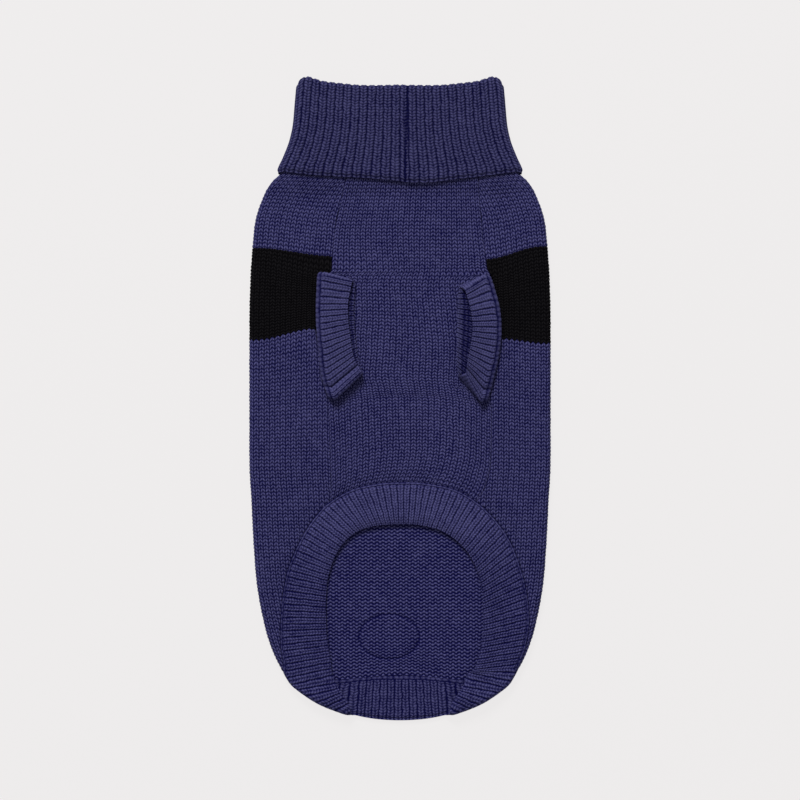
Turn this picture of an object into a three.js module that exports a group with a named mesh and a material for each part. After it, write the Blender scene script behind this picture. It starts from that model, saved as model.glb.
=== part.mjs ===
// A knitted turtleneck sweater for a medium dog, laid flat on its back panel with the belly side up.
// Millimetres: X runs across the sweater, Y towards the neck, Z up from the surface that it lies on.
import * as THREE from "three";

// Cloth thicknesses and the gaps between pieces that are sewn together
const KNIT = 2.4;
const RIB_HALF = 1.1;
const RIB_RISE = 0.8;
const SEAM_GAP = 0.35;
const HEM_GAP = 0.55;

// Heights of the flat body tube: its rounded side folds stand higher than its middle
const FOLD_RADIUS = 3.8;
const NECK_RADIUS = 2.9;
const FLAT_HEIGHT = 5.8;
const FOLD_FALL = 25;
const NECK_LIFT = 2.7;
const NECK_LIFT_FROM = 140;
const NECK_LIFT_TO = 157;
// The least length of round fold that a piece keeps, as a share of the fold's radius, and the
// most of it, as a share of the piece's whole width there
const LEAST_ROUND = 0.15;
const MOST_ROUND = 0.85;
// From this share of its length on, the belly panel's rows bend to follow the arch
const ARCH_BEND_FROM = 0.55;

// The collar is a rib tube turned down outside itself
const NECK_SEAM = 174.3;
const COLLAR_CORE_HEIGHT = NECK_LIFT + NECK_RADIUS;
const COLLAR_INNER_LEG = NECK_RADIUS - RIB_HALF;
const COLLAR_OUTER_LEG = COLLAR_INNER_LEG + 2.7;
const COLLAR_RIBS = 24;
const COLLAR_BACK_EDGE = 157.8;
const COLLAR_DROOP = 0.45;
const COLLAR_DROOP_LENGTH = 6.5;
const COLLAR_MIDDLE = 200;
const RIBS_FADE = 1.6;

// The cuffs are flattened rib tubes that lie bent over towards the middle
const CUFF_NEAR_RADIUS = 1.4;
const CUFF_FAR_RADIUS = 4.2;
const CUFF_NEAR_START = 270;
const CUFF_FAR_START = 208;
const CUFF_ROOT = 5.5;
const HOLE_WIDTH = 6.2;
const CUFF_RIBS = 19;
const CUFF_BENT_STEPS = 4;

// The hem is one rib band round the arched opening and the tail
const HEM_FOLD = 2.7;
const HEM_RIBS = 106;
const HEM_FALL = 1.9;
const HEM_LEAD = 30;
const HEM_FOLD_CENTRING = 0.75;
const HEM_RIBS_FADE = 4;
const HEM_INSIDE_SHOWN = 12;
const HEM_LEAST_END = -2.1;
const QUARTER_TURN = (Math.PI / 2) * HEM_FOLD;

const INDIGO = "#2d2d56";
const BLACK = "#0e0d10";

// Turns rows of numbers into records with named columns
function table(columns, rows) {
  return rows.map((row) => Object.fromEntries(columns.map((name, i) => [name, row[i]])));
}

// Half width of the body's outline, seen from above
const BODY = table(["y", "half"], [
  [174.3, 77.4],
  [164.5, 80.8],
  [161.0, 81.9],
  [157.5, 84.2],
  [153.3, 88.9],
  [147.7, 93.1],
  [142.1, 95.9],
  [125.3, 101.5],
  [114.1, 102.9],
  [83.3, 105.0],
  [55.3, 105.7],
  [-42.7, 105.7],
  [-70.7, 104.3],
  [-98.7, 102.9],
  [-126.7, 100.8],
  [-154.7, 95.9],
  [-172.2, 91.0],
  [-185.5, 85.1],
  [-199.5, 77.0],
]);

// Half width of the turned-down collar's outline
const COLLAR = table(["y", "half"], [
  [225.0, 71.6],
  [220.5, 72.4],
  [209.3, 73.5],
  [192.5, 75.0],
  [181.3, 77.4],
  [170.1, 81.6],
  [158.9, 86.3],
  [150.0, 87.4],
]);

// The collar's top fold, which rises to an ear near each side
const COLLAR_FOLD = table(["x", "y"], [
  [0, 220.2],
  [20, 219.8],
  [30, 220.1],
  [40, 221.1],
  [50, 222.2],
  [55, 223.0],
  [60, 224.5],
  [65, 225.95],
  [69, 225.0],
  [71.1, 221.0],
]);

// The collar's free edge over the chest
const COLLAR_EDGE = table(["x", "y"], [
  [-86, 159.1],
  [-65, 156.8],
  [-28, 154.7],
  [-3, 152.8],
  [8, 151.4],
  [20, 151.4],
  [36, 153.2],
  [63, 156.1],
  [86, 159.1],
]);

// Knitted rows of the back panel where they meet the belly panel, from the neck to the arch.
// Each row gives its height at both side folds, the place of both of its ends, and the width
// of the slit there, which is wide only at the leg holes.
const ROWS = table(["leftFold", "rightFold", "leftY", "leftX", "rightY", "rightX", "slit"], [
  [174.3, 174.3, 174.3, 33.8, 174.3, 52.6, 0],
  [161.0, 161.0, 160.0, 36.2, 160.0, 54.0, 0],
  [157.5, 157.5, 156.5, 37.1, 156.5, 54.4, 0],
  [152.0, 152.0, 150.5, 38.5, 150.5, 54.9, 0],
  [146.0, 146.0, 144.0, 40.0, 144.0, 55.4, 0],
  [138.0, 138.0, 135.0, 42.0, 135.0, 56.1, 0],
  [122.5, 123.0, 118.0, 45.6, 117.0, 57.8, 0],
  [105.7, 106.8, 100.1, 47.3, 98.0, 60.1, 0],
  [99.5, 100.0, 94.5, 48.0, 92.0, 61.2, 0],
  [94.5, 95.5, 90.0, 56.0, 88.0, 64.5, 1],
  [82.0, 83.0, 79.0, 58.2, 77.0, 66.4, 1],
  [64.0, 64.0, 66.0, 59.4, 63.0, 69.3, 1],
  [40.6, 38.2, 48.7, 59.3, 41.5, 70.6, 1],
  [27.0, 25.0, 33.6, 56.4, 27.3, 67.4, 1],
  [12.0, 11.0, 16.8, 55.2, 13.3, 64.4, 1],
  [2.0, 1.0, 5.6, 51.9, 4.0, 63.3, 1],
  [-4.5, -5.5, -1.6, 50.4, -3.0, 63.2, 1],
  [-8.5, -9.5, -5.5, 50.2, -7.0, 64.4, 0],
  [-24.0, -24.0, -22.0, 49.5, -22.0, 64.2, 0],
  [-46.0, -46.0, -45.0, 48.6, -45.0, 63.5, 0],
  [-63.0, -63.0, -62.0, 48.2, -62.0, 59.4, 0],
  [-72.3, -72.3, -72.1, 49.7, -71.8, 53.9, 0],
]);
const BAND_TOP = 7;
const BAND_BOTTOM = 12;

// Where the hem band lies on top: its seam and its free edge, from the left fold over the arch
// to the right fold
const HEM_TOP = table(["seamX", "seamY", "freeX", "freeY"], [
  [-81.9, -185.5, -49.0, -179.9],
  [-83.7, -172.2, -50.8, -168.7],
  [-83.7, -154.7, -51.8, -154.7],
  [-81.9, -135.1, -51.8, -139.3],
  [-77.7, -116.2, -50.4, -124.6],
  [-70.0, -98.7, -46.2, -111.3],
  [-60.9, -84.0, -39.2, -100.1],
  [-49.7, -72.1, -30.1, -92.4],
  [-33.6, -63.0, -19.6, -88.9],
  [-15.4, -58.8, -8.4, -87.5],
  [2.1, -57.8, 2.1, -87.2],
  [19.6, -58.8, 14.0, -87.9],
  [38.5, -63.0, 26.6, -91.0],
  [53.9, -71.8, 37.8, -97.3],
  [66.5, -83.8, 46.9, -106.4],
  [77.0, -98.7, 53.9, -119.7],
  [84.0, -116.2, 57.3, -132.5],
  [88.8, -135.1, 58.1, -147.5],
  [90.6, -154.7, 58.0, -163.0],
  [88.4, -172.2, 55.5, -178.5],
  [84.0, -185.5, 51.5, -189.5],
]);
const ARCH_LEFT = 7;
const ARCH_RIGHT = 13;

// Where the hem band starts underneath, at the tail: its seam, the fold or outline beyond it,
// its free edge, and whether that edge lies on top (1) or underneath (-1). Left and right alike.
const HEM_TAIL = table(["seamX", "seamY", "foldX", "foldY", "freeX", "freeY", "freeSide"], [
  [76.4, -196.4, 79.0, -198.8, 47.5, -191.5, 1],
  [66.5, -196.5, 71.0, -204.7, 44.3, -200.0, 1],
  [53.2, -196.5, 58.8, -212.8, 40.6, -205.6, 1],
  [40.6, -196.5, 46.2, -218.3, 35.7, -213.0, 1],
  [29.4, -196.5, 31.6, -222.9, 31.5, -222.5, -1],
  [15.4, -196.5, 17.2, -225.6, 16.8, -224.6, -1],
  [0.0, -196.5, 0.0, -226.6, 0.0, -225.6, -1],
]);

// Leg cuffs, from the upper end to the lower end: the height of the root on the leg hole's edge,
// and the free edges of the half that shows (far) and of the half under it (near)
const CUFF_LEFT = table(["rootY", "farX", "farY", "nearX", "nearY"], [
  [86.0, -35.0, 82.0, -35.2, 82.0],
  [67.4, -38.0, 67.0, -37.4, 67.0],
  [50.4, -37.1, 54.0, -36.6, 54.0],
  [33.6, -35.0, 41.5, -34.4, 41.5],
  [16.8, -32.2, 29.5, -31.6, 29.5],
  [2.2, -26.8, 19.4, -26.4, 19.4],
]);
const CUFF_RIGHT = table(["rootY", "farX", "farY", "nearX", "nearY"], [
  [84.0, 45.8, 75.4, 40.8, 79.6],
  [65.0, 49.2, 62.4, 39.8, 67.0],
  [47.6, 50.4, 49.0, 39.2, 54.6],
  [31.0, 48.4, 36.8, 38.8, 42.0],
  [15.0, 46.4, 26.2, 38.8, 29.4],
  [0.4, 46.6, 19.0, 39.4, 17.2],
]);

const clamp = THREE.MathUtils.clamp;
const lerp = THREE.MathUtils.lerp;

function smooth(value) {
  return THREE.MathUtils.smoothstep(value, 0, 1);
}

// A curve through a table's points that never swings past them, level beyond the table's ends
function follow(rows, from, to) {
  const list = [...rows].sort((a, b) => a[from] - b[from]);
  const xs = list.map((row) => row[from]);
  const ys = list.map((row) => row[to]);
  const rise = xs.slice(1).map((x, i) => (ys[i + 1] - ys[i]) / (x - xs[i]));
  const slope = xs.map((_, i) => {
    const before = rise[i - 1] ?? rise[i];
    const after = rise[i] ?? rise[i - 1];
    return before * after > 0 ? (2 * before * after) / (before + after) : 0;
  });
  return (x) => {
    const at = clamp(x, xs[0], xs.at(-1));
    const i = clamp(xs.findIndex((edge) => edge > at) - 1, 0, xs.length - 2);
    const k = at >= xs.at(-1) ? xs.length - 2 : i;
    const step = xs[k + 1] - xs[k];
    const t = (at - xs[k]) / step;
    const s = t * t * (3 - 2 * t);
    const bend = t * (1 - t) * step * (slope[k] * (1 - t) - slope[k + 1] * t);
    return ys[k] * (1 - s) + ys[k + 1] * s + bend;
  };
}

// Blends the records of a list at a fractional place along it; past an open list's ends it goes
// straight on
function blendRows(rows, place, closed) {
  const n = rows.length;
  const i = closed ? Math.floor(place) : clamp(Math.floor(place), 0, n - 2);
  const t = place - i;
  const pick = (k) => rows[closed ? ((k % n) + n) % n : clamp(k, 0, n - 1)];
  const [a, b, c, d] = [pick(i - 1), pick(i), pick(i + 1), pick(i + 2)];
  const straight = t < 0 || t > 1;
  return Object.fromEntries(Object.keys(b).map((name) => {
    const p = b[name];
    const q = c[name];
    if (straight) return [name, lerp(p, q, t)];
    const m = (q - a[name]) / 2;
    const o = (d[name] - p) / 2;
    const t2 = t * t;
    const t3 = t2 * t;
    const value = p * (2 * t3 - 3 * t2 + 1) + m * (t3 - 2 * t2 + t)
      + q * (3 * t2 - 2 * t3) + o * (t3 - t2);
    return [name, value];
  }));
}

// Evenly spaced numbers from one value to another, both included
function steps(from, to, count) {
  return Array.from({ length: count + 1 }, (_, i) => lerp(from, to, i / count));
}

// Fills the strip between two lines of point numbers with triangles
function zip(points, a, b, flip, faces) {
  const distance = (p, q) => points[p].distanceTo(points[q]);
  let i = 0;
  let j = 0;
  while (i < a.length - 1 || j < b.length - 1) {
    const alongA = j === b.length - 1
      || (i < a.length - 1 && distance(a[i + 1], b[j]) <= distance(a[i], b[j + 1]));
    const face = alongA ? [a[i], a[i + 1], b[j]] : [b[j + 1], b[j], a[i]];
    faces.push(flip ? face.reverse() : face);
    if (alongA) i += 1;
    else j += 1;
  }
}

// A closed wall between an outer and an inner grid of points. In a ring the rows close on
// themselves.
function wall(outer, inner, ring) {
  const points = [];
  const faces = [];
  const number = (grid) => grid.map((row) => row.map((point) => points.push(point) - 1));
  const close = (row) => (ring ? [...row, row[0]] : row);
  const a = number(outer).map(close);
  const b = number(inner).map(close);
  const skin = (rows, flip) => {
    for (let i = 0; i + 1 < rows.length; i++) {
      for (let j = 0; j + 1 < rows[i].length; j++) {
        const [p, q, r, s] = [rows[i][j], rows[i + 1][j], rows[i + 1][j + 1], rows[i][j + 1]];
        faces.push(flip ? [p, r, q] : [p, q, r], flip ? [p, s, r] : [p, r, s]);
      }
    }
  };
  skin(a, false);
  skin(b, true);
  zip(points, a[0], b[0], false, faces);
  zip(points, a.at(-1), b.at(-1), true, faces);
  if (!ring) {
    zip(points, a.map((row) => row[0]), b.map((row) => row[0]), true, faces);
    zip(points, a.map((row) => row.at(-1)), b.map((row) => row.at(-1)), false, faces);
  }
  const volume = faces.reduce((sum, [p, q, r]) => {
    const cross = new THREE.Vector3().crossVectors(points[q], points[r]);
    return sum + points[p].dot(cross);
  }, 0);
  const outward = volume > 0 ? faces : faces.map((face) => face.reverse());
  const geometry = new THREE.BufferGeometry().setFromPoints(points);
  geometry.setIndex(outward.flat());
  geometry.computeVertexNormals();
  return geometry;
}

function mesh(name, geometry, color) {
  const material = new THREE.MeshStandardMaterial({ color, roughness: 0.92, metalness: 0 });
  const piece = new THREE.Mesh(geometry, material);
  piece.name = name;
  return piece;
}

const bodyHalf = follow(BODY, "y", "half");

function neckShare(y) {
  return smooth((y - NECK_LIFT_FROM) / (NECK_LIFT_TO - NECK_LIFT_FROM));
}

function underside(y) {
  return NECK_LIFT * neckShare(y);
}

function foldRadius(y) {
  return lerp(FOLD_RADIUS, NECK_RADIUS, neckShare(y));
}

// Height of the upper layer's outer face
function topFace(x, y) {
  const radius = foldRadius(y);
  const inside = bodyHalf(y) - radius - Math.abs(x);
  return underside(y) + lerp(2 * radius, FLAT_HEIGHT, smooth(inside / FOLD_FALL));
}

// How far along the cloth a place lies from the outermost line of a fold, when it lies
// `distance` inside the outline as seen from above
function alongFold(distance) {
  if (distance >= FOLD_RADIUS) return QUARTER_TURN + distance - FOLD_RADIUS;
  return HEM_FOLD * Math.acos(1 - distance / FOLD_RADIUS);
}

// The same place as a length on the outer face, counted from the end of the flat underside
function roundFold(radius, along) {
  const turn = Math.PI / 2 + along / HEM_FOLD;
  return Math.max(radius * Math.min(turn, Math.PI), LEAST_ROUND * radius)
    + Math.max(along - QUARTER_TURN, 0);
}

// A point of the tube beside the back panel's flat part: `along` runs round the fold and back
// over the top
function sidePoint(side, y, along, depth) {
  const radius = foldRadius(y);
  const core = bodyHalf(y) - radius;
  const turn = Math.min(along / radius, Math.PI);
  const x = core + (radius - depth) * Math.sin(turn) - Math.max(along - Math.PI * radius, 0);
  const z = turn < Math.PI
    ? underside(y) + radius - (radius - depth) * Math.cos(turn)
    : topFace(x, y) - depth;
  return new THREE.Vector3(side * x, y, z);
}

// The hem's stations, all round: three places in plan, and how far the seam, the free edge and
// the panel's end lie from the fold along the cloth, negative underneath
function topStation({ seamX, seamY, freeX, freeY }) {
  const width = Math.hypot(freeX - seamX, freeY - seamY);
  const inside = bodyHalf(seamY) - Math.abs(seamX);
  const lead = Math.min(inside, HEM_LEAD);
  const foldX = seamX + ((seamX - freeX) / width) * lead;
  const foldY = seamY + ((seamY - freeY) / width) * lead;
  return {
    seamX, seamY, foldX, foldY, freeX, freeY,
    seamAt: alongFold(lead),
    freeAt: alongFold(lead + width),
    panelAt: alongFold(inside),
  };
}

function tailStation(row, side) {
  const { seamX, seamY, foldX, foldY, freeX, freeY, freeSide } = row;
  const seamAt = -alongFold(Math.hypot(foldX - seamX, foldY - seamY));
  return {
    seamX: side * seamX, seamY,
    foldX: side * foldX, foldY,
    freeX: side * freeX, freeY,
    seamAt,
    freeAt: freeSide * alongFold(Math.hypot(foldX - freeX, foldY - freeY)),
    panelAt: seamAt,
  };
}

const HEM = [
  ...HEM_TOP.map(topStation),
  ...HEM_TAIL.map((row) => tailStation(row, 1)),
  ...HEM_TAIL.slice(0, -1).reverse().map((row) => tailStation(row, -1)),
];
const HEM_LEFT_END = HEM.length - 1;
const HEM_RIGHT_END = HEM_TOP.length;

// Knitted rows of the back panel below the belly panel, whose ends follow the hem's seam
function lowerRows(count) {
  return steps(0, 1, count).slice(1).map((share) => {
    const left = blendRows(HEM, ARCH_LEFT - share * (ARCH_LEFT + HEM.length - HEM_LEFT_END), true);
    const right = blendRows(HEM, lerp(ARCH_RIGHT, HEM_RIGHT_END, share), true);
    return {
      leftFold: left.seamY,
      rightFold: right.seamY,
      leftY: left.seamY,
      rightY: right.seamY,
      leftAlong: left.panelAt,
      rightAlong: right.panelAt,
    };
  });
}

function upperRow(row) {
  return {
    ...row,
    leftAlong: alongFold(bodyHalf(row.leftY) - row.leftX),
    rightAlong: alongFold(bodyHalf(row.rightY) - row.rightX),
  };
}

const LOWER_ROWS = lowerRows(12);
const BACK_ROWS = [...ROWS.map(upperRow), ...LOWER_ROWS];

// Points of one knitted row of the back panel, from its left end round to its right end
function backRow(row, depth, shift) {
  const side = (sign, foldY, endY, end) => {
    const radius = foldRadius(endY);
    const reach = roundFold(radius, end) + FOLD_RADIUS - radius;
    const turn = Math.min(Math.PI * radius, MOST_ROUND * reach);
    const places = [...steps(turn, reach, 4).reverse(), ...steps(0, turn, 5).slice(1, -1).reverse()];
    return places.map((along) => {
      const y = lerp(foldY, endY, smooth((along - turn) / (reach - turn)));
      return sidePoint(sign, y + shift, along, depth);
    });
  };
  const left = side(-1, row.leftFold, row.leftY, row.leftAlong);
  const right = side(1, row.rightFold, row.rightY, row.rightAlong).reverse();
  const bottom = steps(0, 1, 6).map((share) => {
    const y = lerp(row.leftFold, row.rightFold, share) + shift;
    const core = bodyHalf(y) - foldRadius(y);
    return new THREE.Vector3(lerp(-core, core, share), y, underside(y) + depth);
  });
  return [...left, ...bottom, ...right];
}

function backPiece(name, rows, color) {
  const last = rows.length - 1;
  const grid = (depth) => rows.map((row, i) => {
    const gap = (i === 0 ? -1 : i === last ? 1 : 0) * SEAM_GAP / 2;
    return backRow(row, depth, row === BACK_ROWS[0] || row === BACK_ROWS.at(-1) ? 0 : gap);
  });
  return mesh(name, wall(grid(0), grid(KNIT), false), color);
}

// The belly panel fills the top between the two seams, down to the arch
function bellyPanel() {
  const columns = 10;
  const last = ROWS.length - 1;
  const grid = (depth) => ROWS.map((row, i) => steps(0, 1, columns).map((share) => {
    const inset = lerp(SEAM_GAP, HOLE_WIDTH, row.slit);
    const arch = blendRows(HEM, lerp(ARCH_LEFT, ARCH_RIGHT, share), true);
    const { leftX, leftY, rightX, rightY } = ROWS[last];
    const archShare = (arch.seamX + leftX) / (leftX + rightX);
    const near = smooth((i / last - ARCH_BEND_FROM) / (1 - ARCH_BEND_FROM));
    const x = lerp(-row.leftX + inset, row.rightX - inset, lerp(share, archShare, near));
    const y = lerp(row.leftY, row.rightY, share) + near * (arch.seamY - lerp(leftY, rightY, share));
    return new THREE.Vector3(x, y, topFace(x, y) - depth);
  }));
  return mesh("belly_panel", wall(grid(0), grid(KNIT), false), INDIGO);
}

// Places round the collar: over the chest from left to right, round the right side, back
// underneath, and round the left side
function collarPlaces(top, side, bottom) {
  const run = (zone, count) => steps(0, 1, count).slice(0, -1).map((share) => ({ zone, share }));
  return [...run("top", top), ...run("right", side), ...run("bottom", bottom), ...run("left", side)];
}

const collarHalf = follow(COLLAR, "y", "half");
const collarFold = follow(COLLAR_FOLD, "x", "y");
const collarEdge = follow(COLLAR_EDGE, "x", "y");

// A point of the collar at height `rise` above the core of its flattened ring
function collarPoint({ zone, share }, y, rise) {
  const core = collarHalf(y) - COLLAR_OUTER_LEG - RIB_HALF;
  const angle = zone === "right" ? Math.PI * share : Math.PI * (1 + share);
  const droop = COLLAR_DROOP * smooth((NECK_LIFT_TO - y) / COLLAR_DROOP_LENGTH);
  const ways = {
    top: [lerp(-core, core, share), rise - droop],
    bottom: [lerp(core, -core, share), -rise],
    right: [core + rise * Math.sin(angle), rise * Math.cos(angle)],
    left: [-core + rise * Math.sin(angle), rise * Math.cos(angle)],
  };
  const [x, z] = ways[zone];
  return new THREE.Vector3(x, y, COLLAR_CORE_HEIGHT + z);
}

// How far up each place of the ring the ribs are raised: fully on top, not at all underneath
function collarRelief({ zone, share }) {
  if (zone === "top") return 1;
  if (zone === "bottom") return 0;
  return smooth(1 - RIBS_FADE * (zone === "right" ? share : 1 - share));
}

function collar() {
  const middle = (COLLAR_INNER_LEG + COLLAR_OUTER_LEG) / 2;
  const radius = (COLLAR_OUTER_LEG - COLLAR_INNER_LEG) / 2;
  const profile = [
    ...steps(0, 1, 2).map((share) => ({ leg: "inner", share })),
    ...steps(0, 1, 5).slice(1, -1).map((share) => ({ leg: "fold", share })),
    ...steps(0, 1, 4).map((share) => ({ leg: "outer", share })),
  ];
  const grid = (places, offset, relief) => profile.map(({ leg, share }) => places.map((place, i) => {
    const core = collarHalf(COLLAR_MIDDLE) - COLLAR_OUTER_LEG;
    const x = place.zone === "top" || place.zone === "bottom"
      ? Math.abs(lerp(-core, core, place.share))
      : core + COLLAR_OUTER_LEG * Math.sin(Math.PI * place.share);
    const edge = place.zone === "top"
      ? collarEdge(lerp(COLLAR_EDGE[0].x, COLLAR_EDGE.at(-1).x, place.share))
      : lerp(COLLAR_BACK_EDGE, COLLAR_EDGE.at(-1).y, collarRelief(place));
    const ridge = RIB_RISE * relief * (i % 2) * collarRelief(place);
    const out = offset + ridge * (leg === "inner" ? share : 1);
    const top = collarFold(x) - radius - RIB_HALF - RIB_RISE;
    if (leg === "inner") {
      return collarPoint(place, lerp(NECK_SEAM + SEAM_GAP, top, share), COLLAR_INNER_LEG - out);
    }
    if (leg === "outer") {
      return collarPoint(place, lerp(top, edge, share), COLLAR_OUTER_LEG + out);
    }
    const angle = Math.PI * share;
    const y = top + (radius + out) * Math.sin(angle);
    return collarPoint(place, y, middle - (radius + out) * Math.cos(angle));
  }));
  const outer = grid(collarPlaces(2 * COLLAR_RIBS, 6, 8), RIB_HALF, 1);
  const inner = grid(collarPlaces(16, 6, 8), -RIB_HALF, 0);
  return mesh("collar", wall(outer, inner, true), INDIGO);
}

// Places round a cuff's flattened tube, as a distance past its end stations and a bend radius
function cuffPlaces(far, end, near) {
  const middle = (CUFF_NEAR_RADIUS + CUFF_FAR_RADIUS) / 2;
  const half = (CUFF_FAR_RADIUS - CUFF_NEAR_RADIUS) / 2;
  const flat = (count, radius, from, to, way) => steps(from, to, count).slice(0, -1)
    .map((share) => ({ share, radius, past: 0, way, pastWay: 0, top: way > 0 }));
  const round = (count, share, sign) => steps(0, Math.PI, count).slice(0, -1).map((angle) => ({
    share,
    radius: middle + sign * half * Math.cos(angle),
    past: sign * half * Math.sin(angle),
    way: sign * Math.cos(angle),
    pastWay: sign * Math.sin(angle),
    top: false,
  }));
  return [
    ...flat(far, CUFF_FAR_RADIUS, 0, 1, 1),
    ...round(end, 1, 1),
    ...flat(near, CUFF_NEAR_RADIUS, 1, 0, -1),
    ...round(end, 0, -1),
  ];
}

// The leg hole's outer edge, straight between the back panel's rows
function holeEdge(side, y) {
  const [height, place] = side < 0 ? ["leftY", "leftX"] : ["rightY", "rightX"];
  const i = ROWS.findIndex((row) => row[height] <= y);
  const [above, below] = [ROWS[i - 1], ROWS[i]];
  const share = (above[height] - y) / (above[height] - below[height]);
  return side * lerp(above[place], below[place], share);
}

function cuff(name, rows, side) {
  const last = rows.length - 1;
  const length = rows[0].rootY - rows[last].rootY;
  const middleHeight = FLAT_HEIGHT - KNIT / 2;
  const profile = [
    ...steps(0, 1, CUFF_BENT_STEPS).map((share) => ({ bent: true, share })),
    ...steps(0, 1, 2).slice(1).map((share) => ({ bent: false, share })),
  ];
  const grid = (places, offset, relief) => profile.map(({ bent, share }, k) => places.map((place, i) => {
    const ridge = place.top && i % 2 ? RIB_RISE * relief * smooth(2 * k / CUFF_BENT_STEPS - 1) : 0;
    const out = offset + ridge;
    const past = place.past + place.pastWay * out;
    const radius = place.radius + place.way * out;
    const row = blendRows(rows, (place.share + past / length) * last, false);
    const far = (place.radius - CUFF_NEAR_RADIUS) / (CUFF_FAR_RADIUS - CUFF_NEAR_RADIUS);
    const start = lerp(CUFF_NEAR_START, CUFF_FAR_START, far);
    const angle = THREE.MathUtils.degToRad(bent ? lerp(start, 90, share) : 90);
    const axisX = holeEdge(side, row.rootY) - side * CUFF_ROOT;
    const reach = bent ? 0 : share;
    const freeX = lerp(row.nearX, row.farX, far);
    const freeY = lerp(row.nearY, row.farY, far);
    return new THREE.Vector3(
      lerp(axisX, freeX, reach) - side * radius * Math.cos(angle),
      lerp(row.rootY, freeY, reach),
      middleHeight + CUFF_NEAR_RADIUS + radius * Math.sin(angle),
    );
  }));
  const outer = grid(cuffPlaces(2 * CUFF_RIBS, 4, 10), RIB_HALF, 1);
  const inner = grid(cuffPlaces(10, 4, 10), -RIB_HALF, 0);
  return mesh(name, wall(outer, inner, true), INDIGO);
}

// Stations of the hem at equal steps along the middle of the band
function evenHemPlaces(count) {
  const fine = 16;
  const middle = steps(0, HEM.length, HEM.length * fine).map((place) => {
    const row = blendRows(HEM, place, true);
    return new THREE.Vector2(row.seamX + row.freeX, row.seamY + row.freeY).multiplyScalar(0.5);
  });
  const lengths = [0];
  middle.slice(1).forEach((point, i) => lengths.push(lengths[i] + point.distanceTo(middle[i])));
  return steps(0, lengths.at(-1), count).slice(0, -1).map((length) => {
    const i = Math.max(lengths.findIndex((value) => value > length) - 1, 0);
    return (i + (length - lengths[i]) / (lengths[i + 1] - lengths[i])) / fine;
  });
}

// A point of the hem band `along` the cloth from its fold, `out` of its middle surface
function hemPoint(row, along, out) {
  const fold = new THREE.Vector2(row.foldX, row.foldY);
  const under = new THREE.Vector2(row.seamX, row.seamY).sub(fold).normalize();
  const over = new THREE.Vector2(row.freeX, row.freeY).sub(fold).normalize();
  if (row.seamAt > 0) under.copy(over);
  if (row.freeAt < 0) over.copy(under);
  const turn = clamp(along / HEM_FOLD + Math.PI / 2, 0, Math.PI);
  const inward = under.clone().lerp(over, smooth(turn / Math.PI)).normalize();
  const past = Math.max(Math.abs(along) - QUARTER_TURN, 0);
  const distance = FOLD_RADIUS - (HEM_FOLD + out) * Math.sin(turn) + past;
  const fall = HEM_FALL * smooth((along - QUARTER_TURN) / FOLD_FALL);
  const z = RIB_HALF + HEM_FOLD - (HEM_FOLD + out) * Math.cos(turn) - fall;
  return new THREE.Vector3(fold.x + inward.x * distance, fold.y + inward.y * distance, z);
}

// Lengths along the cloth from seam to free edge, closer together round the fold where the band
// is folded
function hemSteps(start, end) {
  const q = QUARTER_TURN;
  const ideal = [start, (start - q) / 2, -q, -q / 2, 0, q / 2, q, (q + end) / 2, end];
  const even = steps(start, end, ideal.length - 1);
  return ideal.map((along, i) => lerp(even[i], clamp(along, start, end), HEM_FOLD_CENTRING));
}

function hemBand() {
  const places = evenHemPlaces(2 * HEM_RIBS);
  const grid = (side, list) => hemSteps(0, 1).map((_, k) => list.map((index) => {
    const row = blendRows(HEM, places[index], true);
    const along = hemSteps(row.seamAt + HEM_GAP, Math.max(row.freeAt, HEM_LEAST_END))[k];
    const shown = smooth(side * along / HEM_RIBS_FADE + 0.2);
    const ridge = index % 2 ? RIB_RISE * shown : 0;
    return hemPoint(row, along, side * (RIB_HALF + ridge));
  }));
  // Places where a face shows no ribs keep every second station only
  const kept = (side) => places.map((_, i) => i).filter((i) => {
    const row = blendRows(HEM, places[i], true);
    return i % 2 === 0 || (side > 0 ? row.freeAt > 0 : row.freeAt < HEM_INSIDE_SHOWN);
  });
  return mesh("hem_band", wall(grid(1, kept(1)), grid(-1, kept(-1)), true), INDIGO);
}

const group = new THREE.Group();
group.name = "dog_sweater";
group.add(
  backPiece("back_yoke", BACK_ROWS.slice(0, BAND_TOP + 1), INDIGO),
  backPiece("back_band", BACK_ROWS.slice(BAND_TOP, BAND_BOTTOM + 1), BLACK),
  backPiece("back_lower", BACK_ROWS.slice(BAND_BOTTOM), INDIGO),
  bellyPanel(),
  collar(),
  cuff("cuff_left", CUFF_LEFT, -1),
  cuff("cuff_right", CUFF_RIGHT, 1),
  hemBand(),
);

export default group;
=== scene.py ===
"""A knitted turtleneck dog sweater, laid flat with its belly side up.

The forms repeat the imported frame's own sizes, in millimetres, and gain stitches, ribs and creases.
"""

import math

import bmesh
import bpy
import numpy as np
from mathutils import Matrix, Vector


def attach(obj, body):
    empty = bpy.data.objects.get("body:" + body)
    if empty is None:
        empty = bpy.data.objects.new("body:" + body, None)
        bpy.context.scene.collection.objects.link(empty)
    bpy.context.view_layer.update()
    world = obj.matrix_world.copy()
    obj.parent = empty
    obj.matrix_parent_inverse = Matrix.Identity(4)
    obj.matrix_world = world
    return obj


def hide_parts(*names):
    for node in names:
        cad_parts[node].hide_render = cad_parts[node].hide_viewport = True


bl_info = {
    "name": "Dog Sweater",
    "version": (1, 0, 0),
    "blender": (4, 5, 0),
    "location": "View3D > Sidebar > Sweater",
    "description": "Dresses the laid-out dog sweater in knitted cloth",
    "category": "Object",
}

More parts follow.
